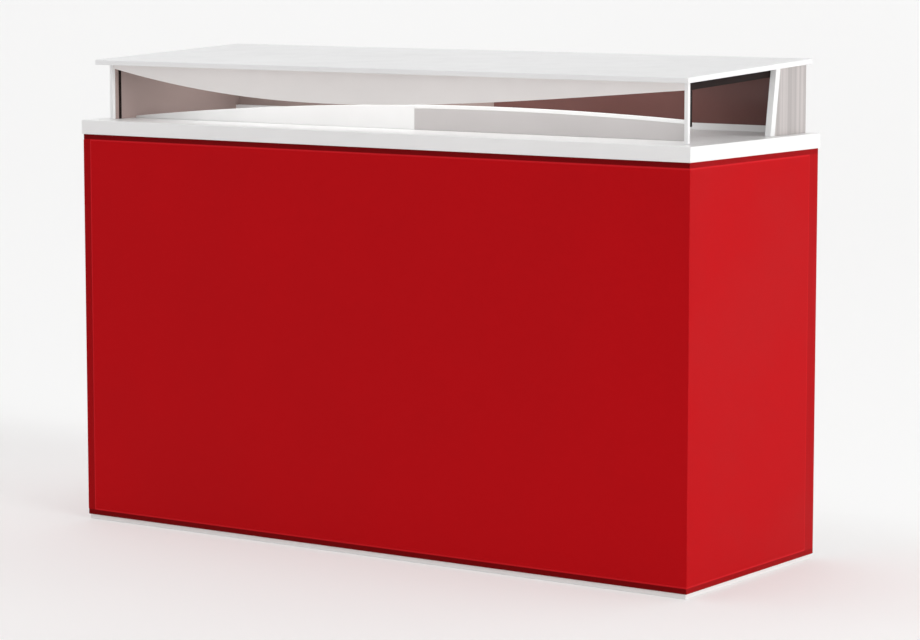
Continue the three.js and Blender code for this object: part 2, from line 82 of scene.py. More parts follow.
Array = np.ndarray
Shell = tuple[np.ndarray, np.ndarray]
Triple = tuple[float, float, float]
Rgba = tuple[float, float, float, float]
Socket = bpy.types.NodeSocket
Sockets = bpy.types.bpy_prop_collection


class Body(Enum):
    """The bodies that pieces without a node in the frame ride on."""

    DESK = "desk"
    DOOR = "door"


class Axis(Enum):
    """A direction along the desk's frame, as (axis index, sign)."""

    LEFT = (0, -1)
    RIGHT = (0, 1)
    FRONT = (1, -1)
    BACK = (1, 1)
    DOWN = (2, -1)
    UP = (2, 1)


HANDLES = {f"drawer_handle_{number}": Axis.RIGHT for number in DRAWERS} | {"cupboard_handle": Axis.UP}


class Graph:
    """A thin layer over a node tree that adds nodes and links in one call."""

    def __init__(self, tree: bpy.types.NodeTree) -> None:
        """Keeps the tree that the nodes go into."""
        self.tree = tree

    def add(self, kind: str, inputs: dict | None = None, **settings: object) -> bpy.types.Node:
        """Adds one node.

        Args:
            kind: the node's type name without its ShaderNode prefix.
            inputs: socket name or index to a value or to another node's output.
            settings: properties of the node itself.

        Returns:
            The new node.
        """
        node = self.tree.nodes.new("ShaderNode" + kind)
        for name, value in settings.items():
            setattr(node, name, value)
        for key, value in (inputs or {}).items():
            self.feed(node.inputs[key], value)
        return node

    def feed(self, socket: Socket, value: object) -> None:
        """Links an output to the socket, or sets the socket's own value.

        Args:
            socket: the socket that is fed.
            value: another node's output, or a plain value.
        """
        if isinstance(value, bpy.types.NodeSocket):
            self.tree.links.new(value, socket)
        else:
            socket.default_value = value

    def math(self, operation: str, *values: object, clamp: bool = False) -> Socket:
        """Adds a Math node on up to three values and returns its output."""
        return self.add("Math", dict(enumerate(values)), operation=operation, use_clamp=clamp).outputs[0]

    def vector(self, operation: str, *values: object) -> Socket:
        """Adds a Vector Math node and returns its vector, or the number that a dot product gives."""
        node = self.add("VectorMath", dict(enumerate(values)), operation=operation)
        return node.outputs["Value" if operation == "DOT_PRODUCT" else "Vector"]

    def blend(self, share: object, first: object, second: object) -> Socket:
        """Mixes two colours by a share and returns the colour."""
        return self.add("Mix", {"Factor": share, "A": first, "B": second}, data_type="RGBA").outputs["Result"]

    def ramp(self, value: object, low: float, high: float, start: float = 0.0, end: float = 1.0) -> Socket:
        """Maps a value by a smooth step.

        Args:
            value: what is mapped.
            low: where the change starts.
            high: where it ends.
            start: the result at low and before.
            end: the result at high and past it.

        Returns:
            The result.
        """
        limits = {"From Min": low, "From Max": high, "To Min": start, "To Max": end}
        node = self.add("MapRange", {"Value": value, **limits}, interpolation_type="SMOOTHSTEP")
        return node.outputs["Result"]

    def noise(self, place: Socket, scale: object, detail: float, roughness: float = 0.5) -> Socket:
        """Adds a noise over the given places and returns its value."""
        inputs = {"Vector": place, "Scale": scale, "Detail": detail, "Roughness": roughness}
        return self.add("TexNoise", inputs).outputs["Fac"]


def rgba(colour: Sequence[float]) -> Rgba:
    """A colour of three linear parts as the four that a socket takes."""
    return (colour[0], colour[1], colour[2], 1.0)


def open_group(
    name: str, inputs: dict[str, object], outputs: Sequence[str]
) -> tuple[Graph, Sockets, Sockets]:
    """Opens a shader node group that finishes share. Its first input is the place on the surface.

    Args:
        name: the group's name.
        inputs: further inputs by name, with a number or a vector as default.
        outputs: names of the numbers that it gives.

    Returns:
        The group's graph, the sockets that come in and the sockets that go out.
    """
    tree = bpy.data.node_groups.new(name, "ShaderNodeTree")
    for key, default in {"Vector": (0.0, 0.0, 0.0), **inputs}.items():
        kind = "NodeSocketFloat" if isinstance(default, float) else "NodeSocketVector"
        tree.interface.new_socket(key, in_out="INPUT", socket_type=kind).default_value = default
    for key in outputs:
        tree.interface.new_socket(key, in_out="OUTPUT", socket_type="NodeSocketFloat")
    entry, leave = tree.nodes.new("NodeGroupInput"), tree.nodes.new("NodeGroupOutput")
    return Graph(tree), entry.outputs, leave.inputs


@cache
def orange_peel() -> bpy.types.NodeTree:
    """Sprayed lacquer: a fine peel added to a coarse flow as height, and broad clouds for the colour.

    Returns:
        The shared group.
    """
    graph, given, out = open_group("orange_peel", {"Peel scale": 260.0}, ("Height", "Cloud"))
    peel_share = 0.25
    peel = graph.noise(given["Vector"], given["Peel scale"], detail=2.0)
    flow = graph.noise(given["Vector"], scale=9.0, detail=1.0)
    cloud = graph.noise(given["Vector"], scale=2.4, detail=3.0, roughness=0.55)
    graph.feed(out["Height"], graph.math("MULTIPLY_ADD", peel, peel_share, flow))
    graph.feed(out["Cloud"], graph.ramp(cloud, *NOISE_SPAN))
    return graph.tree


@cache
def edge_wear() -> bpy.types.NodeTree:
    """Edges rubbed by use: how far a rounded normal turns from the true one, broken up by noise.

    Returns:
        The shared group.
    """
    graph, given, out = open_group("edge_wear", {"Radius": 2 * MM}, ("Mask",))
    flat, turned_away = 0.98, 0.8
    rounded = graph.add("Bevel", {"Radius": given["Radius"]}, samples=4).outputs["Normal"]
    facing = graph.vector("DOT_PRODUCT", rounded, graph.add("NewGeometry").outputs["True Normal"])
    noise = graph.noise(given["Vector"], scale=60.0, detail=4.0)
    turn, patchy = graph.ramp(facing, flat, turned_away), graph.ramp(noise, low=0.42, high=0.68)
    graph.feed(out["Mask"], graph.math("MULTIPLY", turn, patchy, clamp=True))
    return graph.tree


@cache
def settled_dust() -> bpy.types.NodeTree:
    """Thin dust on faces that look up: the normal's height times a soft patchy noise.

    Returns:
        The shared group.
    """
    graph, given, out = open_group("dust", {"Amount": 0.3}, ("Mask", "Up"))
    steep, level = 0.6, 1.0
    normal = graph.add("SeparateXYZ", {"Vector": graph.add("NewGeometry").outputs["Normal"]})
    noise = graph.noise(given["Vector"], scale=14.0, detail=5.0)
    up, patch = graph.ramp(normal.outputs["Z"], steep, level), graph.ramp(noise, low=0.35, high=0.75)
    # Up also serves as the mask of painted shade on white tops
    graph.feed(out["Up"], up)
    graph.feed(out["Mask"], graph.math("MULTIPLY", graph.math("MULTIPLY", up, patch), given["Amount"]))
    return graph.tree


@cache
def pearl_grain() -> bpy.types.NodeTree:
    """A pressed or moulded skin: a pearl-like fine bump and a faint cloudiness.

    Returns:
        The shared group.
    """
    graph, given, out = open_group("pearl_grain", {"Scale": 700.0}, ("Height", "Cloud"))
    pearl = graph.add("TexVoronoi", {key: given[key] for key in ("Vector", "Scale")}, feature="SMOOTH_F1")
    cloud = graph.noise(given["Vector"], scale=5.0, detail=4.0)
    graph.feed(out["Height"], pearl.outputs["Distance"])
    graph.feed(out["Cloud"], graph.ramp(cloud, *NOISE_SPAN))
    return graph.tree


@cache
def brushed_lines() -> bpy.types.NodeTree:
    """Brushing marks: noise squeezed hard across the brushing and stretched along it.

    Returns:
        The shared group.
    """
    inputs = {"Squeeze": (900.0, 900.0, 6.0), "Streak": (70.0, 70.0, 0.4)}
    graph, given, out = open_group("brushed_lines", inputs, ("Fine", "Streaks"))
    fine = graph.noise(graph.vector("MULTIPLY", given["Vector"], given["Squeeze"]), scale=1.0, detail=3.0)
    streak = graph.noise(graph.vector("MULTIPLY", given["Vector"], given["Streak"]), scale=1.0, detail=2.0)
    graph.feed(out["Fine"], fine)
    graph.feed(out["Streaks"], graph.ramp(streak, *NOISE_SPAN))
    return graph.tree


@cache
def border_band() -> bpy.types.NodeTree:
    """How near a point lies to a panel's framed edges.

    Distances are taken to the low and the high limit of each axis. The level mask is 1 within the band along
    the top and bottom edges, the upright mask along the upright ones, and the highlight line mask just past the
    band, where a painted highlight goes.

    Returns:
        The shared group.
    """
    limits = {"Low": (-1.0, -1.0, -1.0), "High": (1.0, 1.0, 1.0)}
    widths = {"Level band": 13 * MM, "Upright band": 13 * MM}
    masks = ("Level mask", "Upright mask", "Highlight line mask")
    graph, given, out = open_group("border_band", {**limits, **widths}, masks)
    line_width, half_line, line_middle = 3 * MM, 0.5, 0.6
    from_low = graph.vector("SUBTRACT", given["Vector"], given["Low"])
    from_high = graph.vector("SUBTRACT", given["High"], given["Vector"])
    nearest = graph.add("SeparateXYZ", {"Vector": graph.vector("MINIMUM", from_low, from_high)}).outputs
    upright = graph.math("MINIMUM", nearest["X"], nearest["Y"])
    lines_past = []
    for edges, distance in (("Level", nearest["Z"]), ("Upright", upright)):
        past = graph.math("DIVIDE", graph.math("SUBTRACT", distance, given[edges + " band"]), line_width)
        graph.feed(out[edges + " mask"], graph.ramp(past, -half_line, half_line, 1.0, 0.0))
        lines_past.append(past)
    off_line = graph.math("SUBTRACT", graph.math("MINIMUM", *lines_past), line_middle)
    graph.feed(out["Highlight line mask"], graph.math("SUBTRACT", 1.0, graph.math("ABSOLUTE", off_line), clamp=True))
    return graph.tree


@dataclass(frozen=True)
class Finish:
    """A surface finish: a Principled shader whose colour, roughness and normal vary over the surface.

    Cloud, the shades and the span of roughness are shares of the finish's own colour and roughness.
    """

    name: str
    slot: str
    colour: Triple
    roughness: float
    specular: float
    metallic: float = 0.0
    cloud: float = 0.02
    rough_span: tuple[float, float] = (0.9, 1.12)
    bump_strength: float = 0.05
    bump_height: float = 1.0 * MM
    wear_radius: float = 2.0 * MM
    wear_share: float = 0.35
    wear_shade: float = 0.8
    dust: float = 0.14
    dust_shade: float = 0.8

    def shade(self, share: float) -> Rgba:
        """The finish's colour made darker or lighter by a share."""
        return rgba([min(1.0, part * share) for part in self.colour])

    def rubbed(self) -> Rgba:
        """The colour of rubbed edges."""
        return self.shade(self.wear_shade)

    def material(self) -> bpy.types.Material:
        """Builds the finish's material, in a way of its own for each kind of finish."""
        raise NotImplementedError


class Layers:
    """A material in the making: the colour is laid on layer by layer, then goes to the shader."""

    def __init__(self, finish: Finish) -> None:
        """Starts a material, with the finish's constants on its shader.

        Args:
            finish: the finish that it shows.
        """
        self.finish = finish
        self.made = bpy.data.materials.new(finish.name)
        self.made.use_nodes = True
        self.graph = Graph(self.made.node_tree)
        self.shader = self.made.node_tree.nodes["Principled BSDF"]
        self.shader.inputs["Specular IOR Level"].default_value = finish.specular
        self.shader.inputs["Metallic"].default_value = finish.metallic
        self.place = self.graph.add("TexCoord").outputs["Object"]
        self.colour: Socket | Rgba = rgba(finish.colour)

    def effect(self, group: Callable[[], bpy.types.NodeTree], **inputs: object) -> Sockets:
        """Puts a shared group into the material.

        Args:
            group: gives the group.
            inputs: values of its inputs, with _ for a space in an input's name.

        Returns:
            The group's outputs.
        """
        node = self.graph.tree.nodes.new("ShaderNodeGroup")
        node.node_tree = group()
        for key, value in {"Vector": self.place, **inputs}.items():
            self.graph.feed(node.inputs[key.replace("_", " ")], value)
        return node.outputs

    def cloud(self, share: Socket) -> None:
        """Lays the first colour, which a share takes from a darker to a lighter shade."""
        depth = self.finish.cloud
        self.colour = self.graph.blend(share, self.finish.shade(1 - depth), self.finish.shade(1 + depth))

    def lay(self, share: Socket, colour: Rgba, amount: float | None = None) -> None:
        """Lays a colour over the last one, by a share or by an amount of that share."""
        part = share if amount is None else self.graph.math("MULTIPLY", share, amount)
        self.colour = self.graph.blend(part, self.colour, colour)

    def wear(self) -> None:
        """Lays the rubbed colour on the edges."""
        worn = self.effect(edge_wear, Radius=self.finish.wear_radius)
        self.lay(worn["Mask"], self.finish.rubbed(), self.finish.wear_share)

    def dust(self) -> Sockets:
        """Lays dust on what looks up.

        Returns:
            The outputs of the dust's group.
        """
        dust_and_top_shade = self.effect(settled_dust, Amount=self.finish.dust)
        self.lay(dust_and_top_shade["Mask"], self.finish.shade(self.finish.dust_shade))
        return dust_and_top_shade

    def rough(self, share: Socket, low: float = 0.0, high: float = 1.0) -> Socket:
        """The roughness, which crosses the finish's span while a share goes from low to high."""
        start, end = (self.finish.roughness * part for part in self.finish.rough_span)
        return self.graph.ramp(share, low, high, start, end)

    def close(self, rough: Socket, height: Socket) -> bpy.types.Material:
        """Feeds the colour, the roughness and a bump to the shader.

        Args:
            rough: the roughness.
            height: the bump's height.

        Returns:
            The material.
        """
        relief = {"Strength": self.finish.bump_strength, "Distance": self.finish.bump_height}
        normal = self.graph.add("Bump", {**relief, "Height": height}).outputs["Normal"]
        for key, value in (("Base Color", self.colour), ("Roughness", rough), ("Normal", normal)):
            self.graph.feed(self.shader.inputs[key], value)
        return self.made


@dataclass(frozen=True)
class Border:
    """A panel's framed border: its widths, and its depth of colour as shares of the field's.

    The border is a deeper-red trim made darker still by painted shade. Past it runs a painted highlight line.
    """

    upright_width: float
    upright_trim_and_shade: float
    level_trim_and_shade: float
    level_width: float = 13 * MM
    highlight_line_share: float = 0.55


@dataclass(frozen=True)
class Framing:
    """A border, and the limits of the panel that it frames."""

    low: Triple
    high: Triple
    border: Border

    def nearness(self, points: Array, slope: float) -> Array:
        """How far a point belongs to the border: 1 less its distance past the nearest band, in slope widths.

        Args:
            points: places on the panel, one a row.
            slope: width of the slope past a band.

        Returns:
            1 within a framed band, 0 past its slope, and the share of the slope between.
        """
        gaps = np.minimum(points - self.low, np.subtract(self.high, points))
        past_level = gaps[..., 2] - self.border.level_width
        past_upright = gaps[..., :2].min(axis=-1) - self.border.upright_width
        return np.clip(1 - np.minimum(past_level, past_upright) / slope, 0, 1)


@dataclass(frozen=True)
class RedLacquer(Finish):
    """Sprayed red lacquer of one panel: orange peel, deeper-red borders darkened by painted shade, a painted
    highlight line past them, slight rubbing.
    """

    slot: str = "red_lacquer"
    colour: Triple = (0.472, 0.003, 0.006)
    roughness: float = 0.5
    specular: float = 0.04
    rough_span: tuple[float, float] = (0.92, 1.1)
    bump_height: float = 2.0 * MM
    wear_radius: float = 1.5 * MM
    wear_share: float = 0.3
    peel_scale: float = 260.0
    # painted highlight: a brighter red line past the border, where the step would catch light
    highlight_line_colour: Triple = (0.72, 0.022, 0.03)
    rub_colour: Triple = (0.62, 0.02, 0.028)
    framing: Framing = field(kw_only=True)

    def rubbed(self) -> Rgba:
        """The colour of rubbed edges."""
        return rgba(self.rub_colour)

    def material(self) -> bpy.types.Material:
        """Builds the panel's lacquer.

        Returns:
            The material.
        """
        layers = Layers(self)
        peel = layers.effect(orange_peel, Peel_scale=self.peel_scale)
        layers.cloud(peel["Cloud"])
        border, limits = self.framing.border, {"Low": self.framing.low, "High": self.framing.high}
        widths = {"Level_band": border.level_width, "Upright_band": border.upright_width}
        band = layers.effect(border_band, **limits, **widths)
        # painted shade deepens the border trim, and a painted highlight lays a brighter line past it
        layers.lay(band["Upright mask"], self.shade(border.upright_trim_and_shade))
        layers.lay(band["Level mask"], self.shade(border.level_trim_and_shade))
        layers.lay(band["Highlight line mask"], rgba(self.highlight_line_colour), border.highlight_line_share)
        layers.wear()
        return layers.close(layers.rough(peel["Cloud"]), peel["Height"])


@dataclass(frozen=True)
class WhiteTop(Finish):
    """White board or coat: faint clouding, thin dust on top and slightly greyed edges.

    Top is the share of the colour that is left on faces that look up; below 1 it paints shade onto those faces.
    """

    bump_strength: float = 0.03
    dust: float = 0.12
    dust_shade: float = 0.86
    dust_roughness: float = 0.5
    peel_scale: float = 320.0
    # share left on upward faces; below 1 it is painted shade
    top: float = 1.0

    def material(self) -> bpy.types.Material:
        """Builds the white finish.

        Returns:
            The material.
        """
        layers = Layers(self)
        peel = layers.effect(orange_peel, Peel_scale=self.peel_scale)
        layers.cloud(peel["Cloud"])
        dust_and_top_shade = layers.dust()
        # painted shade: faces that look up are darkened by 1 - top
        layers.lay(dust_and_top_shade["Up"], rgba(BLACK), 1 - self.top)
        layers.wear()
        rough = layers.graph.math("MULTIPLY_ADD", dust_and_top_shade["Mask"], self.dust_roughness, self.roughness)
        return layers.close(rough, peel["Height"])


@dataclass(frozen=True)
class Melamine(Finish):
    """Textured board facing with a pearl bump, rubbed edges and a little dust."""

    bump_strength: float = 0.12
    bump_height: float = 0.6 * MM
    wear_share: float = 0.4
    wear_shade: float = 0.72
    grain: float = 700.0

    def material(self) -> bpy.types.Material:
        """Builds the melamine.

        Returns:
            The material.
        """
        layers = Layers(self)
        grain = layers.effect(pearl_grain, Scale=self.grain)
        layers.cloud(grain["Cloud"])
        layers.wear()
        layers.dust()
        return layers.close(layers.rough(grain["Cloud"]), grain["Height"])


@dataclass(frozen=True)
class Brushed(Finish):
    """Brushed metal: broad streaks in the colour, fine scratches in the colour, roughness and bump."""

    cloud: float = 0.14
    rough_span: tuple[float, float] = (0.8, 1.25)
    bump_strength: float = 0.08
    bump_height: float = 0.4 * MM
    squeeze: Triple = (900.0, 900.0, 6.0)
    streak: Triple = (70.0, 70.0, 0.4)
    scratch_share: float = 0.2
    scratch_shade: float = 0.75

    def material(self) -> bpy.types.Material:
        """Builds the brushed metal.

        Returns:
            The material.
        """
        layers = Layers(self)
        lines = layers.effect(brushed_lines, Squeeze=self.squeeze, Streak=self.streak)
        layers.cloud(lines["Streaks"])
        layers.lay(lines["Fine"], self.shade(self.scratch_shade), self.scratch_share)
        return layers.close(layers.rough(lines["Fine"], *NOISE_SPAN), lines["Fine"])


@dataclass(frozen=True)
class Moulded(Finish):
    """Moulded or tinted plastic: a soft skin grain, faint clouding and pale dust."""

    cloud: float = 0.08
    rough_span: tuple[float, float] = (0.8, 1.3)
    bump_strength: float = 0.04
    bump_height: float = 0.3 * MM
    dust: float = 0.15
    dust_shade: float = 1.6
    grain: float = 1200.0

    def material(self) -> bpy.types.Material:
        """Builds the plastic.

        Returns:
            The material.
        """
        layers = Layers(self)
        grain = layers.effect(pearl_grain, Scale=self.grain)
        layers.cloud(grain["Cloud"])
        layers.dust()
        return layers.close(layers.rough(grain["Cloud"]), grain["Height"])


@cache
def shared_material(finish: Finish) -> bpy.types.Material:
    """The one material of a finish, made when a piece first asks for it."""
    return finish.material()


ALONG_X: Triple = (6.0, 900.0, 900.0)  # squeeze of marks brushed along the desk
ALONG_Y: Triple = (400.0, 8.0, 400.0)  # squeeze of marks brushed from front to back

WHITE_GLOSS = WhiteTop("white_gloss", "white_gloss", (0.84, 0.84, 0.837), 0.3, 0.5)
# top=0.88 paints shade onto the slab's upper face
SLAB_WHITE = WhiteTop("slab_white", "white_gloss", (0.83, 0.83, 0.835), 0.35, 0.4, top=0.88)
WHITE_PLINTH = WhiteTop("white_plinth", "white_plinth", (0.84, 0.83, 0.82), 0.45, 0.4)
WHITE_METAL = WhiteTop("white_powder_coat", "white_metal", (0.86, 0.86, 0.86), 0.38, 0.5, bump_strength=0.1)
MELAMINE = Melamine("white_melamine", "melamine", (0.80, 0.79, 0.77), 0.5, 0.4)
GREY_LAMINATE = Melamine("light_grey_laminate", "grey_laminate", (0.84, 0.805, 0.79), 0.42, 0.3, grain=500.0)
# the rail's grey laminate at 0.63 of its colour: painted shade on the right upstand
SHADED_GREY_LAMINATE = Melamine("grey_laminate_painted_shade", "grey_laminate", (0.53, 0.506, 0.502), 0.4, 0.3, grain=500.0)
DRAWER_GREY = Melamine("drawer_grey_melamine", "drawer_grey", (0.50, 0.50, 0.50), 0.5, 0.4)
TAUPE = Melamine("taupe_laminate", "taupe_laminate", (0.40, 0.305, 0.283), 0.45, 0.4, grain=500.0)
BRUSHED_ALUMINIUM = Brushed("brushed_support", "brushed_metal", (0.56, 0.52, 0.51), 0.42, 0.5, metallic=0.6)
DARK_TRACK = Brushed(
    "dark_anodised", "dark_track", (0.03, 0.028, 0.027), 0.4, 0.5, metallic=0.4, squeeze=ALONG_X
)
SATIN_STEEL = Brushed("satin_steel", "steel", (0.62, 0.62, 0.63), 0.3, 0.5, metallic=1.0, squeeze=ALONG_X)
ZINC = Brushed(
    "zinc_plate", "zinc_steel", (0.55, 0.56, 0.58), 0.38, 0.5, metallic=1.0,
    cloud=0.05, squeeze=ALONG_Y, streak=(30.0, 3.0, 30.0),
)
TINTED = Moulded(
    "tinted_acrylic", "tinted_acrylic", (0.155, 0.064, 0.0555), 0.2, 0.3, grain=60.0, bump_strength=0.005
)
SMOKE = Moulded(
    "smoke_acrylic", "tinted_acrylic", (0.37, 0.285, 0.262), 0.2, 0.3, grain=60.0, bump_strength=0.005
)
# dark pieces that stand in for shadow lines under the slab's right end and beside the posts: painted shadow
PAINTED_SHADOW_DARK = Moulded("painted_shadow_dark", "dark_track", (0.012, 0.006, 0.0055), 0.5, 0.12, cloud=0.2)
BLACK_PLASTIC = Moulded("black_moulding", "foot_plastic", (0.03, 0.03, 0.03), 0.55, 0.4, cloud=0.2)


def round_lines(half: float, radius: float, steps: int, offsets: Sequence[float] = ()) -> Array:
    """Grid lines across one side of a rounded block.

    From each end inwards they lie at half - radius + radius * tan(angle), with angle from 45 degrees to 0, so
    that the rounding is cut into equal turns. Further lines lie at the given offsets from each end.

    Args:
        half: half the side's length.
        radius: edge radius.
        steps: cuts in each rounded edge.
        offsets: distances from the ends of extra lines.

    Returns:
        The lines' places, from -half to half.
    """
    turn = half - radius + radius * np.tan(np.linspace(math.pi / 4, 0, steps + 1))
    extra = half - np.asarray(offsets, float)
    ends = np.concatenate([turn, extra[np.abs(extra) < half - radius - HAIR]])
    return np.unique(np.round(np.concatenate([-ends, ends]), LINE_DECIMALS))


def grid_quads(rows: int, columns: int, flipped: bool = False) -> Array:
    """Corner numbers of the cells of a grid whose points run row by row.

    Args:
        rows: points down the grid.
        columns: points across the grid.
        flipped: whether the cells are listed the other way round, to face the other side.

    Returns:
        An array of four corner numbers a cell.
    """
    number = np.arange(rows * columns).reshape(rows, columns)
    ring = [number[:-1, :-1], number[:-1, 1:], number[1:, 1:], number[1:, :-1]]
    cells = np.stack(ring, axis=-1).reshape(-1, 4)
    return cells[:, ::-1] if flipped else cells


def weld(points: Array, quads: Array) -> Shell:
    """Joins points that coincide, to a hundredth of a millimetre, so that a shell's seams are closed.

    Args:
        points: places, one a row.
        quads: corner numbers, one face a row.

    Returns:
        The joined points and the renumbered faces.
    """
    rounded = np.round(points + WELD_SHIFT, WELD_DECIMALS)
    _, first, where = np.unique(rounded, axis=0, return_index=True, return_inverse=True)
    return points[first], where.reshape(-1)[quads]


def grid_shell(points: Array, flipped: bool = False) -> Shell:
    """A welded shell from a grid of points, which has rows, columns and three parts."""
    rows, columns = points.shape[:2]
    return weld(points.reshape(-1, 3), grid_quads(rows, columns, flipped))


def capped(rings: Array, start: Array, end: Array) -> Shell:
    """A shell from closed rings, with a fan to a point at each end.

    Args:
        rings: points of each ring, of which the last repeats the first.
        start: where the fan at the first ring meets.
        end: where the fan at the last ring meets.

    Returns:
        Points and four-cornered faces of a closed shell.
    """
    first, last = (np.broadcast_to(tip, rings[0].shape)[None] for tip in (start, end))
    return grid_shell(np.concatenate([first, rings, last]))


def together(shells: Sequence[Shell]) -> Shell:
    """Several shells as one, each one's corner numbers moved past those before it.

    Args:
        shells: points and faces of each shell.

    Returns:
        Points and faces of them all.
    """
    starts = np.cumsum([0] + [len(points) for points, _ in shells[:-1]])
    quads = [corner_numbers + start for (_, corner_numbers), start in zip(shells, starts)]
    return np.concatenate([points for points, _ in shells]), np.concatenate(quads)


def rounded_block(
    low: Sequence[float],
    high: Sequence[float],
    radius: float,
    steps: int = 3,
    face: Axis | None = None,
    offsets: Sequence[float] = (),
    relief: Callable[[Array], Array] | None = None,
) -> Shell:
    """A block with rounded edges and, if asked, a relief on one face.

    Each side is a grid of two parameters on the plain block. A point is clamped to the block that is smaller
    by the radius all round, and then pushed out by the radius along the line from the clamped point, which
    rounds edges and corners. A point of the chosen face, or of its rounded edges, then sinks by the relief's
    depth.

    Args:
        low: lowest corner in metres.
        high: highest corner in metres.
        radius: edge radius in metres.
        steps: cuts in each rounded edge.
        face: the side that has the relief.
        offsets: distances from the edges of extra grid lines.
        relief: gives the depth to sink at each point of that face.

    Returns:
        Points and four-cornered faces of a closed shell.
    """
    low, high = np.asarray(low, float), np.asarray(high, float)
    middle, half = (low + high) / 2, (high - low) / 2
    core = half - radius
    lines = [round_lines(length, radius, steps, offsets) for length in half]
    sides = []
    for side in Axis:
        axis, sign = side.value
        across, along = (axis + 1) % 3, (axis + 2) % 3
        first, second = np.meshgrid(lines[across], lines[along], indexing="ij")
        plain = np.empty(first.shape + (3,))
        plain[..., axis], plain[..., across], plain[..., along] = sign * half[axis], first, second
        inner = np.clip(plain, -core, core)
        away = plain - inner
        points = inner + radius * away / np.linalg.norm(away, axis=-1, keepdims=True) + middle
        sides.append((points.reshape(-1, 3), grid_quads(*first.shape, flipped=sign > 0)))
    points, quads = weld(*together(sides))
    if face is not None and relief is not None:
        axis, sign = face.value
        near = sign * (points[:, axis] - middle[axis]) > core[axis] - HAIR
        points[:, axis] -= np.where(near, sign * relief(points), 0.0)
    return points, quads


def blade(
    stations: Array, depths: tuple[float, float], lower: Array, upper: Array, radius: float, steps: int = 3
) -> Shell:
    """A thin upright board along X whose lower and upper edges may curve.

    Its section is a rounded rectangle, carried along X while its lower and upper limits follow the two edges.

    Args:
        stations: places along X of the sections.
        depths: front and back limits in Y.
        lower: height of the lower edge at each station.
        upper: height of the upper edge at each station.
        radius: section corner radius, in metres.
        steps: cuts in each rounded corner.

    Returns:
        Points and four-cornered faces of a closed shell.
    """
    most = 0.98  # share of half the height that a corner may take
    angles = np.linspace(0, math.pi / 2, steps + 1)
    quarter = np.concatenate([angles + k * math.pi / 2 for k in range(4)])
    to_back = np.repeat([1, -1, -1, 1], steps + 1)
    to_top = np.repeat([1, 1, -1, -1], steps + 1)
    middle_y, half_y = sum(depths) / 2, (depths[1] - depths[0]) / 2
    middle_z, half_z = (lower + upper) / 2, (upper - lower) / 2
    corner = np.minimum(radius, half_z * most)[:, None]
    y = middle_y + to_back * (half_y - np.minimum(corner, half_y)) + corner * np.cos(quarter)
    z = middle_z[:, None] + to_top * (half_z[:, None] - corner) + corner * np.sin(quarter)
    x = np.broadcast_to(stations[:, None], y.shape)
    rings = np.stack([x, y, z], axis=-1)
    spine = np.stack([stations, np.full_like(stations, middle_y), middle_z], axis=-1)
    return capped(np.concatenate([rings, rings[:, :1]], axis=1), spine[0], spine[-1])


def bar_along(path: Array, binormal: Sequence[float], radius: float, sides: int = 20) -> Shell:
    """A round bar carried along a flat path, closed at both ends.

    At each path point the section is a circle in the plane of the path's in-plane normal and the binormal.

    Args:
        path: points of the path, one a row.
        binormal: unit vector square to the path's plane.
        radius: the bar's radius.
        sides: points round the section.

    Returns:
        Points and four-cornered faces of a closed shell.
    """
    tangent = np.gradient(path, axis=0)
    tangent /= np.linalg.norm(tangent, axis=1, keepdims=True)
    square = np.asarray(binormal, float)
    normal = np.cross(square, tangent)
    angle = np.linspace(0, 2 * math.pi, sides + 1)[None, :, None]
    rings = path[:, None] + radius * (np.cos(angle) * normal[:, None] + np.sin(angle) * square)
    return capped(rings, path[0], path[-1])


def turned(profile: Sequence[Sequence[float]], centre: Sequence[float], axis: Axis, sides: int) -> Shell:
    """A solid turned about an axis: each (radius, height) of the profile becomes a ring at that height.

    Args:
        profile: radius and height of each ring, from the axis at the top round to the axis at the foot.
        centre: where height starts.
        axis: the way that height runs.
        sides: points in each ring.

    Returns:
        Points and four-cornered faces of a closed shell.
    """
    radius, height = np.asarray(profile, float).T
    along, sign = axis.value
    angle = np.linspace(0, 2 * math.pi, sides + 1)
    points = np.empty((len(radius), sides + 1, 3))
    points[..., along] = sign * height[:, None]
    points[..., (along + 1) % 3] = radius[:, None] * np.cos(angle)
    points[..., (along + 2) % 3] = radius[:, None] * np.sin(angle)
    return grid_shell(points + np.asarray(centre, float), flipped=sign > 0)


def tub(low: Array, high: Array, wall: float, radius: float, steps: int = 3) -> Shell:
    """An open box with upright walls, a level floor and a rounded rim.

    Rectangular rings run from the middle of the underside, up the outside, over the rim, down the inside and
    to the middle of the floor. Each ring has its own inset from the outline and its own height. At the foot
    and at the rim these are r(1 - sin a) and r(1 - cos a), which draws quarter circles.

    Args:
        low: lowest corner in metres.
        high: highest corner in metres.
        wall: thickness of walls and floor.
        radius: rounding of the rim and of the lower edges.
        steps: cuts in each quarter of a rounding.

    Returns:
        Points and four-cornered faces of a closed shell.
    """
    turn = np.linspace(0, math.pi / 2, steps + 1)
    ease_in, ease_out = radius * (1 - np.sin(turn)), radius * (1 - np.cos(turn))
    deep = min(high[:2] - low[:2]) / 2
    top = high[2] - low[2]
    inset = np.concatenate([[deep], ease_in, ease_out, wall - ease_in, [wall, deep]])
    level = np.concatenate([[0.0], ease_out, top - ease_in, top - ease_out, [wall, wall]])
    signs = np.array([[-1, 1, 1, -1, -1], [-1, -1, 1, 1, -1]])
    middle, half = (low + high) / 2, (high - low) / 2
    points = np.empty((len(inset), signs.shape[1], 3))
    for axis, sign in enumerate(signs):
        points[..., axis] = middle[axis] + sign * np.maximum(half[axis] - inset[:, None], half[axis] - deep)
    points[..., 2] = low[2] + level[:, None]
    return grid_shell(points)


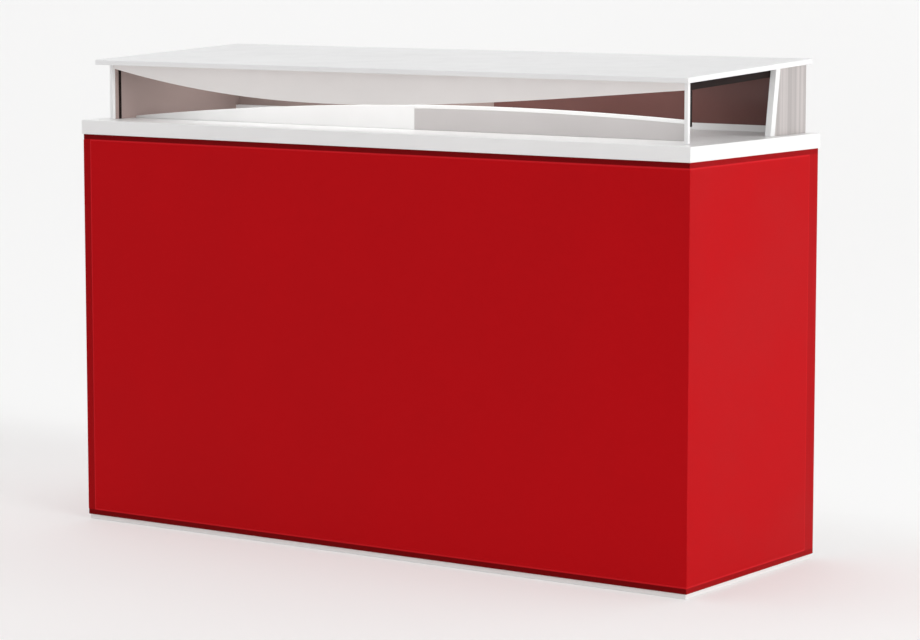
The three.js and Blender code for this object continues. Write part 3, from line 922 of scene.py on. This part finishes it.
def make_piece(name: str, shell: Shell, finish: Finish, body: str, stands_for: Sequence[str] = ()) -> None:
    """Turns a shell into a finished piece that rides on a body.

    Args:
        name: the piece's name.
        shell: its points and faces.
        finish: its finish, which names the record's slot.
        body: the body that it rides on.
        stands_for: nodes of the frame that it replaces.
    """
    points, quads = shell
    cells = [list(dict.fromkeys(cell)) for cell in quads.tolist()]
    mesh = bpy.data.meshes.new(name)
    mesh.from_pydata(points.tolist(), [], [cell for cell in cells if len(cell) > 2])
    mesh.polygons.foreach_set("use_smooth", np.ones(len(mesh.polygons), bool))
    mesh.materials.append(shared_material(finish))
    mesh.update()
    piece = bpy.data.objects.new(name, mesh)
    bpy.context.scene.collection.objects.link(piece)
    piece.modifiers.new("even_shading", "WEIGHTED_NORMAL").weight = FACE_WEIGHT
    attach(piece, body)
    if stands_for:
        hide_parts(*stands_for)
    LOG.info("%s on %s: %d faces", name, body, len(mesh.polygons))


def body_of(node: str) -> str:
    """The body that a node of the frame rides on."""
    return frame["nodes"][node]["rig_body"]


def corners(node: str) -> tuple[Array, Array]:
    """Lowest and highest corner of a node of the frame."""
    low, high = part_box(node)
    return np.array(low), np.array(high)


def dress(node: str, shell: Shell, finish: Finish) -> None:
    """Replaces a node of the frame by a finished shell on the same body."""
    make_piece(node + "_dressed", shell, finish, body_of(node), [node])


def dress_block(node: str, finish: Finish, radius: float) -> None:
    """Replaces a plain board of the frame by the same board with edges of the given radius."""
    dress(node, rounded_block(*corners(node), radius), finish)


def dress_node(node: str, finish: Finish) -> None:
    """Gives a node of the frame, kept as it is, a finish.

    Args:
        node: the node.
        finish: its finish.
    """
    mesh = frame["nodes"][node].data
    mesh.materials.clear()
    mesh.materials.append(shared_material(finish))


@dataclass
class RedBody:
    """The three red panels, each with a framed border on its outer face.

    Along an edge without a border, the border's limit lies further out by the length called far.
    """

    # the shares add painted shade to the deeper-red trim: darkest on the front and along top and bottom edges
    front_border: Border = Border(upright_width=22 * MM, upright_trim_and_shade=0.72, level_trim_and_shade=0.36)
    side_border: Border = Border(upright_width=42 * MM, upright_trim_and_shade=0.88, level_trim_and_shade=0.66)
    step: float = 1.0 * MM
    slope: float = 2.0 * MM
    radius: float = 0.6 * MM
    edge_steps: int = 2
    far: float = 1.0

    def build(self) -> None:
        """Builds the panels: framed at top, bottom and at each panel's far upright edge."""
        self.panel("front_panel", Axis.FRONT, (True, False), (1, 1), self.front_border)
        self.panel("right_side_panel", Axis.RIGHT, (False, True), (1, 0), self.side_border)
        self.panel("left_side_panel", Axis.LEFT, (False, True), (1, 0), self.side_border)

    def panel(
        self, node: str, face: Axis, framed: tuple[bool, bool], mitred: tuple[int, int], border: Border
    ) -> None:
        """Builds one panel.

        The face sinks by a step within the band along its framed edges and slopes up to the field. A mitred
        end is drawn in by as much as a point lies behind the outer face.

        Args:
            node: the panel's node.
            face: its outer side.
            framed: whether the low and the high upright edge are framed.
            mitred: 1 where the low and the high upright end are mitred, else 0.
            border: its border.
        """
        low, high = corners(node)
        axis, sign = face.value
        across = 1 - axis
        frame_low, frame_high = low.copy(), high.copy()
        for limit, shown, outwards in ((frame_low, framed[0], -1), (frame_high, framed[1], 1)):
            limit[axis] += outwards * self.far
            limit[across] += 0 if shown else outwards * self.far
        framing = Framing(tuple(frame_low), tuple(frame_high), border)

        def depth(points: Array) -> Array:
            """Depth under the field: the whole step inside a band, none past its slope."""
            return self.step * framing.nearness(points, self.slope)

        widths = (border.level_width, border.upright_width)
        offsets = [width + past for width in widths for past in (0.0, self.slope)]
        points, quads = rounded_block(low, high, self.radius, self.edge_steps, face, offsets, depth)
        behind = high[axis] - points[:, axis] if sign > 0 else points[:, axis] - low[axis]
        ends = low[across] + behind * mitred[0], high[across] - behind * mitred[1]
        points[:, across] = np.clip(points[:, across], *ends)
        dress(node, (points, quads), RedLacquer("red_lacquer_" + node, framing=framing))


@dataclass
class Counter:
    """Deck, raised slab and what stands between them.

    The rail is given by how far it hangs down at each end and at the handle of that end's arc, and by the
    place along X and the hang of its deepest point. An upstand is given by its heights at its left end, its
    shoulder and its right end.
    """

    deck_radius: float = 1.5 * MM
    slab_radius: float = 2.0 * MM
    post_radius: float = 1.2 * MM
    rail_radius: float = 1.5 * MM
    rail_stations: int = 160
    rail_left: tuple[float, float] = (12 * MM, 60 * MM)
    rail_deepest: tuple[float, float] = (-155 * MM, 81 * MM)
    rail_right: tuple[float, float] = (20 * MM, 48 * MM)
    slab_thickness: float = 13 * MM
    upstand_left: Triple = (5 * MM, 50 * MM, 60 * MM)
    upstand_right: Triple = (60 * MM, 67 * MM, 48 * MM)
    lean: float = 25 * MM
    cap_height: float = 9 * MM
    cap_proud: float = 0.6 * MM
    # the end rail, end channel and post seal are dark pieces that stand in for shadow lines: painted shadow
    end_rail_shadow_height: float = 20 * MM
    shadow_seal_depth: float = 9 * MM
    shadow_seal_foot: float = 39 * MM
    shadow_channel_wall: float = 1.5 * MM
    shadow_channel_setback: float = 13 * MM
    shadow_channel_length: float = 9 * MM
    shadow_channel_clear: float = 0.2 * MM
    shadow_channel_radius: float = 0.6 * MM

    def build(self) -> None:
        """Builds the deck and the slab, and then the posts, panels, rails and seals between them. The end
        channel, end rail and post seal are dark pieces that paint shadow lines.
        """
        dress_block("deck", WHITE_GLOSS, self.deck_radius)
        self.slab()
        self.upright("front_post_left", WHITE_METAL)
        self.upright("front_post_right", WHITE_METAL)
        self.upright("left_end_panel", TAUPE)
        self.end_shadow_channel()
        self.arched_rail()
        self.upstands()
        self.leaning("right_support", BRUSHED_ALUMINIUM, back_leans=False)
        self.leaning("right_support_edge", WHITE_GLOSS, back_leans=True)
        self.end_rail()
        self.post_shadow_seal()

    def rise(self, y: Array) -> Array:
        """How far the sloping slab has risen over its front edge: in proportion to the depth.

        Args:
            y: the depth, or several.

        Returns:
            The rise at each depth.
        """
        low, high = corners("slab")
        whole = high[2] - low[2] - self.slab_thickness
        return whole * (y - low[1]) / (high[1] - low[1])

    def slab(self) -> None:
        """Builds the slab: a level block sheared upwards by its rise at each depth."""
        low, high = corners("slab")
        high[2] = low[2] + self.slab_thickness
        points, quads = rounded_block(low, high, self.slab_radius)
        points[:, 2] += self.rise(points[:, 1])
        dress("slab", (points, quads), SLAB_WHITE)

    def under_slab(self, points: Array, clear: float = 0.0) -> Array:
        """Stretches a shell upwards so that its top follows the slab's underside.

        A point's height over the shell's foot is scaled by the room under the slab at the point's depth.

        Args:
            points: the shell's points.
            clear: gap left under the slab.

        Returns:
            The moved points.
        """
        foot, top = points[:, 2].min(), points[:, 2].max()
        room = corners("slab")[0][2] + self.rise(points[:, 1]) - clear - foot
        moved = points.copy()
        moved[:, 2] = foot + (points[:, 2] - foot) * room / (top - foot)
        return moved

    def upright(self, node: str, finish: Finish) -> None:
        """Builds a post or panel that stands under the slab."""
        points, quads = rounded_block(*corners(node), self.post_radius)
        dress(node, (self.under_slab(points), quads), finish)

    def end_shadow_channel(self) -> None:
        """Builds the dark upright channel round the end panel, a little behind its front edge: a painted shadow
        for the gap beside the left post.
        """
        low, high = corners("left_end_panel")
        wall, clear = self.shadow_channel_wall, self.shadow_channel_clear
        front = low[1] + self.shadow_channel_setback
        start = (low[0] - wall, front, low[2] + clear)
        end = (high[0] + wall, front + self.shadow_channel_length, high[2])
        points, quads = rounded_block(start, end, self.shadow_channel_radius)
        shell = self.under_slab(points, clear), quads
        make_piece("end_panel_shadow_channel", shell, PAINTED_SHADOW_DARK, Body.DESK.value)

    @staticmethod
    def cubic(ends: tuple[float, float], handles: tuple[float, float], share: Array) -> Array:
        """A cubic arc's hang: the ends and handles weighted by the cubic Bernstein shares.

        Args:
            ends: hang at the arc's two ends.
            handles: hang of the handle at each end.
            share: places along the arc, from 0 to 1.

        Returns:
            The hang at each place.
        """
        rest = 1 - share
        weights = (rest**3, 3 * rest**2 * share, 3 * rest * share**2, share**3)
        hangs = (ends[0], handles[0], handles[1], ends[1])
        return sum(weight * hang for weight, hang in zip(weights, hangs))

    def arched_rail(self) -> None:
        """Builds the rail: its lower edge is two cubic arcs that meet level at the deepest point."""
        low, high = corners("arched_rail")
        x = np.linspace(low[0], high[0], self.rail_stations)
        deepest_x, hang = self.rail_deepest
        left_share = np.clip((x - low[0]) / (deepest_x - low[0]), 0, 1)
        right_share = np.clip((high[0] - x) / (high[0] - deepest_x), 0, 1)
        left = self.cubic((self.rail_left[0], hang), (self.rail_left[1], hang), left_share)
        right = self.cubic((self.rail_right[0], hang), (self.rail_right[1], hang), right_share)
        lower = high[2] - np.where(x < deepest_x, left, right)
        shell = blade(x, (low[1], high[1]), lower, np.full_like(x, high[2]), self.rail_radius)
        dress("arched_rail", shell, GREY_LAMINATE)

    def upstand_edge(self, node: str, heights: Triple) -> tuple[Array, Array]:
        """The upper edge of an upstand, a parabola.

        At a share s of the length its height is h0 (1-s)^2 + 2 h1 s (1-s) + h2 s^2.

        Args:
            node: the upstand's node.
            heights: h0, h1 and h2 over the upstand's foot.

        Returns:
            Places along X, and the edge's height at each.
        """
        low, high = corners(node)
        x = np.linspace(low[0], high[0], self.rail_stations)
        share = (x - low[0]) / (high[0] - low[0])
        first, shoulder, last = heights
        over_foot = first * (1 - share) ** 2 + 2 * shoulder * share * (1 - share) + last * share**2
        return x, low[2] + over_foot

    def upstands(self) -> None:
        """Builds the two upstands and the white cap on the right one. The right one has a darker copy of the
        grey laminate, a painted shade.
        """
        for node, heights, finish in (
            ("upstand_left", self.upstand_left, WHITE_GLOSS),
            ("upstand_right", self.upstand_right, SHADED_GREY_LAMINATE),
        ):
            low, high = corners(node)
            x, top = self.upstand_edge(node, heights)
            shell = blade(x, (low[1], high[1]), np.full_like(x, low[2]), top, self.rail_radius)
            dress(node, shell, finish)
        low, high = corners("upstand_right")
        x, top = self.upstand_edge("upstand_right", self.upstand_right)
        depths = (low[1] - self.cap_proud, high[1] + self.cap_proud)
        shell = blade(x, depths, top - self.cap_height, top + self.cap_proud, self.rail_radius)
        make_piece("upstand_right_cap", shell, WHITE_GLOSS, Body.DESK.value)

    def leaning(self, node: str, finish: Finish, back_leans: bool) -> None:
        """Builds a piece that leans back: its points move along Y by their share of the height.

        Args:
            node: the piece's node.
            finish: its finish.
            back_leans: whether its back leans like its front, or stands upright.
        """
        low, high = corners(node)
        if back_leans:
            high[1] -= self.lean
        points, quads = rounded_block(low, high, self.post_radius)
        height_share = (points[:, 2] - low[2]) / (high[2] - low[2])
        depth_share = (points[:, 1] - low[1]) / (high[1] - low[1])
        points[:, 1] += self.lean * height_share * (1.0 if back_leans else 1 - depth_share)
        dress(node, (self.under_slab(points), quads), finish)

    def end_rail(self) -> None:
        """Builds the dark rail under the slab's right end: a level block sheared like the slab, a painted
        shadow under the slab's edge.
        """
        low, high = corners("end_rail")
        high[2] = low[2] + self.end_rail_shadow_height
        points, quads = rounded_block(low, high, self.shadow_channel_radius)
        points[:, 2] += self.rise(points[:, 1]) - self.rise(low[1])
        dress("end_rail", (points, quads), PAINTED_SHADOW_DARK)

    def post_shadow_seal(self) -> None:
        """Builds the short dark seal behind the right post, up to the end rail: a painted shadow beside the
        post.
        """
        low, high = corners("front_post_right")
        clear, top = self.shadow_channel_clear, corners("end_rail")[0][2]
        start = (low[0] + clear, high[1] + clear, low[2] + self.shadow_seal_foot)
        end = (high[0] - clear, high[1] + self.shadow_seal_depth, top - clear)
        make_piece("post_shadow_seal", rounded_block(start, end, self.shadow_channel_radius), PAINTED_SHADOW_DARK, Body.DESK.value)


@dataclass
class Screens:
    """The sliding screens and their tracks, which keep the frame's shapes."""

    finishes: tuple[tuple[str, Finish], ...] = (
        ("screen_left", SMOKE),
        ("screen_right", TINTED),
        ("screen_track_bottom", WHITE_METAL),
        ("screen_track_top", DARK_TRACK),
    )

    def build(self) -> None:
        """Dresses the screens and tracks."""
        for node, finish in self.finishes:
            dress_node(node, finish)


@dataclass
class Carcass:
    """Plinth, inner boards and feet.

    The pad's dome is given as shares of the pad's radius and height, and so are the two heights of its rim.
    """

    edge: float = 0.8 * MM
    stem_radius: float = 4 * MM
    pad_height: float = 8 * MM
    pad_dome: tuple[tuple[float, float], ...] = ((0.55, 1.0), (0.85, 0.9))
    pad_rim: tuple[float, float] = (0.7, 0.6)
    foot_sides: int = 40
    plinths: tuple[str, ...] = ("front", "back", "left", "right")
    boards: tuple[str, ...] = (
        "left_partition", "right_partition", "bay_shelf", "cupboard_shelf", "niche_board"
    )
    feet: tuple[str, ...] = ("front_left", "front_right", "back_left", "back_right")

    def build(self) -> None:
        """Builds the plinth strips, the inner boards with eased edges and the feet."""
        for side in self.plinths:
            dress_block("plinth_" + side, WHITE_PLINTH, self.edge)
        for node in self.boards:
            dress_block(node, MELAMINE, self.edge)
        dress_node("bottom_board", MELAMINE)
        for place in self.feet:
            self.foot("foot_" + place)

    def foot(self, node: str) -> None:
        """Builds a screw foot: a stem on a domed pad with eased edges, turned from its profile.

        Args:
            node: the foot's node.
        """
        low, high = corners(node)
        centre = ((low[0] + high[0]) / 2, (low[1] + high[1]) / 2, low[2])
        pad, stem, ease = (high[0] - low[0]) / 2, self.stem_radius, self.edge
        shoulder, top = self.pad_height, high[2] - low[2]
        rim_high, rim_low = (share * shoulder for share in self.pad_rim)
        profile = [
            (0, top), (stem - ease, top), (stem, top - ease), (stem, shoulder),
            *((across * pad, up * shoulder) for across, up in self.pad_dome),
            (pad - ease, rim_high), (pad, rim_low), (pad, ease), (pad - ease, 0), (0, 0),
        ]
        dress(node, turned(profile, centre, Axis.UP, self.foot_sides), BLACK_PLASTIC)


@dataclass
class StaffFittings:
    """Drawers, cupboard door, handles, hinges and runners on the staff side."""

    front_radius: float = 1.2 * MM
    bar_radius: float = 5 * MM
    bend_radius: float = 9 * MM
    bend_points: int = 9
    box_wall: float = 12 * MM
    box_radius: float = 1.6 * MM

    def build(self) -> None:
        """Builds fronts, boxes and handles, and dresses runners and hinges."""
        for number in DRAWERS:
            dress_block(f"drawer_front_{number}", MELAMINE, self.front_radius)
            box = f"drawer_box_{number}"
            dress(box, tub(*corners(box), self.box_wall, self.box_radius), DRAWER_GREY)
            self.handle(f"drawer_handle_{number}")
            for side in ("outer", "inner"):
                dress_node(f"runner_channel_{side}_{number}", ZINC)
                dress_node(f"runner_bar_{side}_{number}", ZINC)
        dress_block("cupboard_door", MELAMINE, self.front_radius)
        self.handle("cupboard_handle")
        for label in HINGES:
            dress_node(f"hinge_wall_leaf_{label}", SATIN_STEEL)
            dress_node(f"hinge_door_leaf_{label}", SATIN_STEEL)

    def handle(self, node: str) -> None:
        """Builds a bar handle: a round bar along a U whose corners are arcs.

        Args:
            node: the handle's node.
        """
        low, high = corners(node)
        along, _ = HANDLES[node].value
        half = (high[along] - low[along]) / 2 - self.bar_radius
        reach = high[1] - self.bar_radius - low[1]
        bend = np.linspace(0, math.pi / 2, self.bend_points)
        arc_along = half - self.bend_radius * (1 - np.cos(bend))
        arc_out = reach - self.bend_radius * (1 - np.sin(bend))
        u = np.concatenate([[half], arc_along, -arc_along[::-1], [-half]])
        v = np.concatenate([[0.0], arc_out, arc_out[::-1], [0.0]])
        path = np.tile((low + high) / 2, (len(u), 1))
        path[:, along] += u
        path[:, 1] = low[1] + v
        binormal = np.zeros(3)
        binormal[2 - along] = 1.0
        dress(node, bar_along(path, binormal, self.bar_radius), SATIN_STEEL)


@dataclass
class Hardware:
    """Small fittings on the staff side: screws, handle roses, shelf pins and the door's catch.

    The profiles of a screw and a rose are shares of its radius and height. A pin's chamfer is a share of the
    pin's radius.
    """

    screw_radius: float = 3.2 * MM
    screw_height: float = 1.2 * MM
    screw_profile: tuple[tuple[float, float], ...] = (
        (0, 0.35), (0.38, 0.35), (0.42, 0.98), (0.6, 1), (0.88, 0.7), (1, 0.2), (1, 0), (0, 0)
    )
    screw_sides: int = 16
    rose_radius: float = 8.5 * MM
    rose_height: float = 1.6 * MM
    rose_profile: tuple[tuple[float, float], ...] = ((0, 1), (0.86, 1), (0.96, 0.8), (1, 0.4), (1, 0), (0, 0))
    rose_sides: int = 32
    pin_radius: float = 2.5 * MM
    pin_length: float = 9 * MM
    pin_chamfer: float = 0.15
    pin_inset: float = 60 * MM
    pin_sides: int = 16
    leaf_margin: float = 11 * MM
    leaf_thickness: float = 2 * MM
    catch_size: Triple = (14 * MM, 26 * MM, 44 * MM)
    catch_drop: float = 40 * MM
    catch_gap: float = 1.5 * MM
    catch_radius: float = 1.5 * MM
    plate_size: Triple = (14 * MM, 1.0 * MM, 40 * MM)
    plate_offset: float = 12 * MM
    plate_radius: float = 0.3 * MM
    plate_steps: int = 2

    def build(self) -> None:
        """Builds the fittings."""
        self.hinge_screws()
        self.handle_roses()
        self.shelf_pins()
        self.door_catch()

    def screws(self, name: str, places: Sequence[Triple], axis: Axis, body: Body) -> None:
        """Builds domed screw heads with a round socket, turned from their profile.

        Args:
            name: the piece's name.
            places: where the heads sit.
            axis: the way that they face.
            body: the body that they ride on.
        """
        profile = np.array(self.screw_profile) * (self.screw_radius, self.screw_height)
        shell = together([turned(profile, place, axis, self.screw_sides) for place in places])
        make_piece(name, shell, SATIN_STEEL, body.value)

    def hinge_screws(self) -> None:
        """Puts two screws in each hinge leaf, a margin in from the leaf's ends."""
        margin, leaf = self.leaf_margin, self.leaf_thickness
        door_face, wall_face = corners("cupboard_door")[1][1] + leaf, corners("right_side_panel")[0][0] - leaf
        for label in HINGES:
            low, high = corners("hinge_door_leaf_" + label)
            heights = (low[2] + margin, high[2] - margin)
            on_door = [(low[0] + margin, door_face, z) for z in heights]
            self.screws(f"hinge_door_screws_{label}", on_door, Axis.BACK, Body.DOOR)
            back = corners("hinge_wall_leaf_" + label)[1][1]
            on_wall = [(wall_face, back - margin, z) for z in heights]
            self.screws(f"hinge_wall_screws_{label}", on_wall, Axis.LEFT, Body.DESK)

    def handle_roses(self) -> None:
        """Puts a low rose under each foot of each handle."""
        profile = np.array(self.rose_profile) * (self.rose_radius, self.rose_height)
        for node, axis in HANDLES.items():
            low, high = corners(node)
            along, _ = axis.value
            bar = (high[2 - along] - low[2 - along]) / 2
            feet = np.tile((low + high) / 2, (2, 1))
            feet[:, 1] = low[1]
            feet[:, along] = low[along] + bar, high[along] - bar
            shell = together([turned(profile, foot, Axis.BACK, self.rose_sides) for foot in feet])
            make_piece(node + "_roses", shell, SATIN_STEEL, body_of(node))

    def shelf_pins(self) -> None:
        """Puts four pins under each shelf, two at each end."""
        radius, length = self.pin_radius, self.pin_length
        chamfer = self.pin_chamfer * radius
        profile = ((0, length), (radius - chamfer, length), (radius, length - chamfer), (radius, 0), (0, 0))
        for node in ("bay_shelf", "cupboard_shelf"):
            low, high = corners(node)
            shells = [
                turned(profile, (x, y, low[2] - radius), axis, self.pin_sides)
                for x, axis in ((low[0], Axis.RIGHT), (high[0], Axis.LEFT))
                for y in (low[1] + self.pin_inset, high[1] - self.pin_inset)
            ]
            make_piece(node + "_pins", together(shells), SATIN_STEEL, Body.DESK.value)

    def door_catch(self) -> None:
        """Builds the catch on the partition, and its plate on the door's inner face."""
        wall, door_face = corners("right_partition")[1][0], corners("cupboard_door")[0][1]
        top = corners("cupboard_door")[1][2] - self.catch_drop
        high = np.array([wall + self.catch_size[0], door_face - self.catch_gap, top])
        catch = rounded_block(high - self.catch_size, high, self.catch_radius)
        make_piece("door_catch", catch, BLACK_PLASTIC, Body.DESK.value)
        half = np.array(self.plate_size) / 2
        middle = np.array([wall + self.plate_offset, door_face - half[1], top - self.catch_size[2] / 2])
        plate = rounded_block(middle - half, middle + half, self.plate_radius, self.plate_steps)
        make_piece("door_catch_plate", plate, SATIN_STEEL, Body.DOOR.value)


@dataclass(frozen=True)
class Lamp:
    """A flat lamp: its middle, its two sides and its power, in metres and watts.

    A lamp with an aim faces that place. One without faces down and is seen by neither camera nor reflections.
    """

    name: str
    place: Triple
    size: tuple[float, float]
    watts: float
    aim: Triple | None = None

    def build(self) -> None:
        """Makes the lamp."""
        data = bpy.data.lights.new(self.name, "AREA")
        data.shape = "RECTANGLE"
        data.size, data.size_y = self.size
        data.energy = self.watts
        lamp = bpy.data.objects.new(self.name, data)
        bpy.context.scene.collection.objects.link(lamp)
        lamp.location = self.place
        if self.aim is None:
            lamp.visible_camera = False
            lamp.visible_glossy = False
        else:
            way = Vector(self.aim) - Vector(self.place)
            lamp.rotation_euler = way.to_track_quat("-Z", "Y").to_euler()


DESK_MIDDLE: Triple = (0.0, 0.0, 0.6)  # what the softboxes face


@dataclass
class Studio:
    """Floor, backdrop, lamps and the camera at the photograph's place."""

    eye: Triple = (4.5768, -6.4956, 1.5169)
    pitch_deg: float = -6.9366
    yaw_deg: float = -34.7876
    focal_px: float = 3213.4
    photo_width_px: int = 920
    sensor: float = 36.0
    sight: float = 200.0
    floor_size: float = 40.0
    floor_drop: float = -0.5 * MM
    wall_y: float = 1.6
    wall_height: float = 9.0
    cove_radius: float = 0.7
    cove_points: int = 25
    sheet_points: int = 3
    tone_span: tuple[float, float] = (0.4, 1.2)
    wall_glow: float = 0.8
    floor_glow: float = 0.42
    floor_colour: Triple = (0.94, 0.93, 0.927)
    mottle: float = 0.985
    wall_tone: Triple = (0.965, 0.965, 0.962)
    paint_roughness: float = 0.7
    paint_specular: float = 0.1
    backdrop: Triple = (0.92, 0.92, 0.92)
    ambient: float = 0.62
    lamps: tuple[Lamp, ...] = (
        Lamp("key_softbox", (8.6, -2.0, 2.8), (4.2, 4.2), 286.0, DESK_MIDDLE),
        Lamp("front_fill", (-1.5, -6.0, 2.4), (3.5, 3.5), 26.5, DESK_MIDDLE),
        Lamp("top_fill", (-0.8, -0.5, 5.0), (3.0, 3.0), 52.0, DESK_MIDDLE),
        Lamp("gap_fill_back", (-0.10, 0.09, 1.178), (1.38, 0.28), 1.35),
        Lamp("gap_fill_front", (0.06, -0.187, 1.171), (1.50, 0.072), 0.74),
    )

    def build(self) -> None:
        """Sets the stage."""
        self.camera()
        self.ground()
        self.world()
        for lamp in self.lamps:
            lamp.build()
        bpy.context.scene.view_settings.view_transform = "Standard"

    def camera(self) -> None:
        """Makes the camera: the lens is the focal length in pixels scaled to the sensor."""
        data = bpy.data.cameras.new("photo_camera")
        data.sensor_width = self.sensor
        data.lens = self.focal_px * self.sensor / self.photo_width_px
        data.clip_end = self.sight
        eye = bpy.data.objects.new("photo_camera", data)
        bpy.context.scene.collection.objects.link(eye)
        eye.location = self.eye
        eye.rotation_euler = (math.radians(90 + self.pitch_deg), 0.0, math.radians(-self.yaw_deg))
        bpy.context.scene.camera = eye

    def ground(self) -> None:
        """Makes the stage: a wide level floor, and behind the desk a cove that sweeps up into a wall.

        The cove is a quarter circle from the floor to the wall's foot, then the wall, carried along X. Both
        sheets have one paint, which is clear from behind, so that the desk can be seen from the staff side.
        """
        turn = np.linspace(0, math.pi / 2, self.cove_points)
        line = np.linspace(-self.floor_size / 2, self.floor_size / 2, self.sheet_points)
        cove_y = self.wall_y - self.cove_radius * (1 - np.sin(turn))
        cove_z = self.cove_radius * (1 - np.cos(turn))
        level = (line, np.full_like(line, self.floor_drop))
        sweep = (np.append(cove_y, self.wall_y), np.append(cove_z, self.wall_height))
        paint = self.paint()
        for name, profile in (("floor", level), ("cove", sweep)):
            x, y = np.meshgrid(line, profile[0], indexing="ij")
            points = np.stack([x, y, np.broadcast_to(profile[1], y.shape)], axis=-1).reshape(-1, 3)
            mesh = bpy.data.meshes.new(name)
            mesh.from_pydata(points.tolist(), [], grid_quads(*x.shape, flipped=True).tolist())
            mesh.polygons.foreach_set("use_smooth", np.ones(len(mesh.polygons), bool))
            mesh.materials.append(paint)
            sheet = bpy.data.objects.new(name, mesh)
            bpy.context.scene.collection.objects.link(sheet)

    def paint(self) -> bpy.types.Material:
        """The stage's paint.

        Its tone goes from the floor's to the wall's behind the desk. Rays of the camera, of reflections and
        of glass see part of it as a plain glow, and the rest keeps the desk's shadow.

        Returns:
            The material.
        """
        material = bpy.data.materials.new("stage_paint")
        material.use_nodes = True
        graph = Graph(material.node_tree)
        shader = material.node_tree.nodes["Principled BSDF"]
        shader.inputs["Roughness"].default_value = self.paint_roughness
        shader.inputs["Specular IOR Level"].default_value = self.paint_specular
        place = graph.add("TexCoord").outputs["Object"]
        back = graph.add("SeparateXYZ", {"Vector": place}).outputs["Y"]
        raised = graph.ramp(back, *self.tone_span)
        share = graph.ramp(graph.noise(place, scale=0.6, detail=2.0), *NOISE_SPAN)
        darker = [part * self.mottle for part in self.floor_colour]
        mottled = graph.blend(share, rgba(self.floor_colour), rgba(darker))
        colour = graph.blend(raised, mottled, rgba(self.wall_tone))
        graph.feed(shader.inputs["Base Color"], colour)
        glow = graph.add("Emission", {"Color": colour, "Strength": 1.0})
        amount = graph.ramp(raised, 0.0, 1.0, self.floor_glow, self.wall_glow)
        seen = graph.math("MULTIPLY", self.seen_directly(graph), amount)
        front = graph.add("MixShader", {"Fac": seen, 1: shader.outputs["BSDF"], 2: glow.outputs["Emission"]})
        behind = graph.add("NewGeometry").outputs["Backfacing"]
        clear = graph.add("BsdfTransparent")
        both = graph.add("MixShader", {"Fac": behind, 1: front.outputs[0], 2: clear.outputs[0]})
        graph.feed(material.node_tree.nodes["Material Output"].inputs["Surface"], both.outputs[0])
        return material

    @staticmethod
    def seen_directly(graph: Graph) -> Socket:
        """Tells by the light path whether a surface is seen directly.

        Args:
            graph: the graph that needs to know.

        Returns:
            1 for rays of the camera, of reflections and of glass, else 0.
        """
        path = graph.add("LightPath")
        seen = graph.math("MAXIMUM", path.outputs["Is Camera Ray"], path.outputs["Is Glossy Ray"])
        return graph.math("MAXIMUM", seen, path.outputs["Is Transmission Ray"])

    def world(self) -> None:
        """Makes the world: even light, and a pale backdrop for the camera and for reflections."""
        world = bpy.data.worlds.new("studio")
        bpy.context.scene.world = world
        world.use_nodes = True
        graph = Graph(world.node_tree)
        background = world.node_tree.nodes["Background"]
        graph.feed(background.inputs["Color"], rgba(self.backdrop))
        strength = graph.ramp(self.seen_directly(graph), 0.0, 1.0, self.ambient, 1.0)
        graph.feed(background.inputs["Strength"], strength)


def main() -> None:
    """Builds the stage and each sub-assembly in order."""
    logging.basicConfig(level=logging.INFO, format="%(name)s: %(message)s")
    for part in (Studio(), RedBody(), Counter(), Screens(), Carcass(), StaffFittings(), Hardware()):
        part.build()
        LOG.info("%s done", type(part).__name__)


if __name__ == "__main__":
    main()
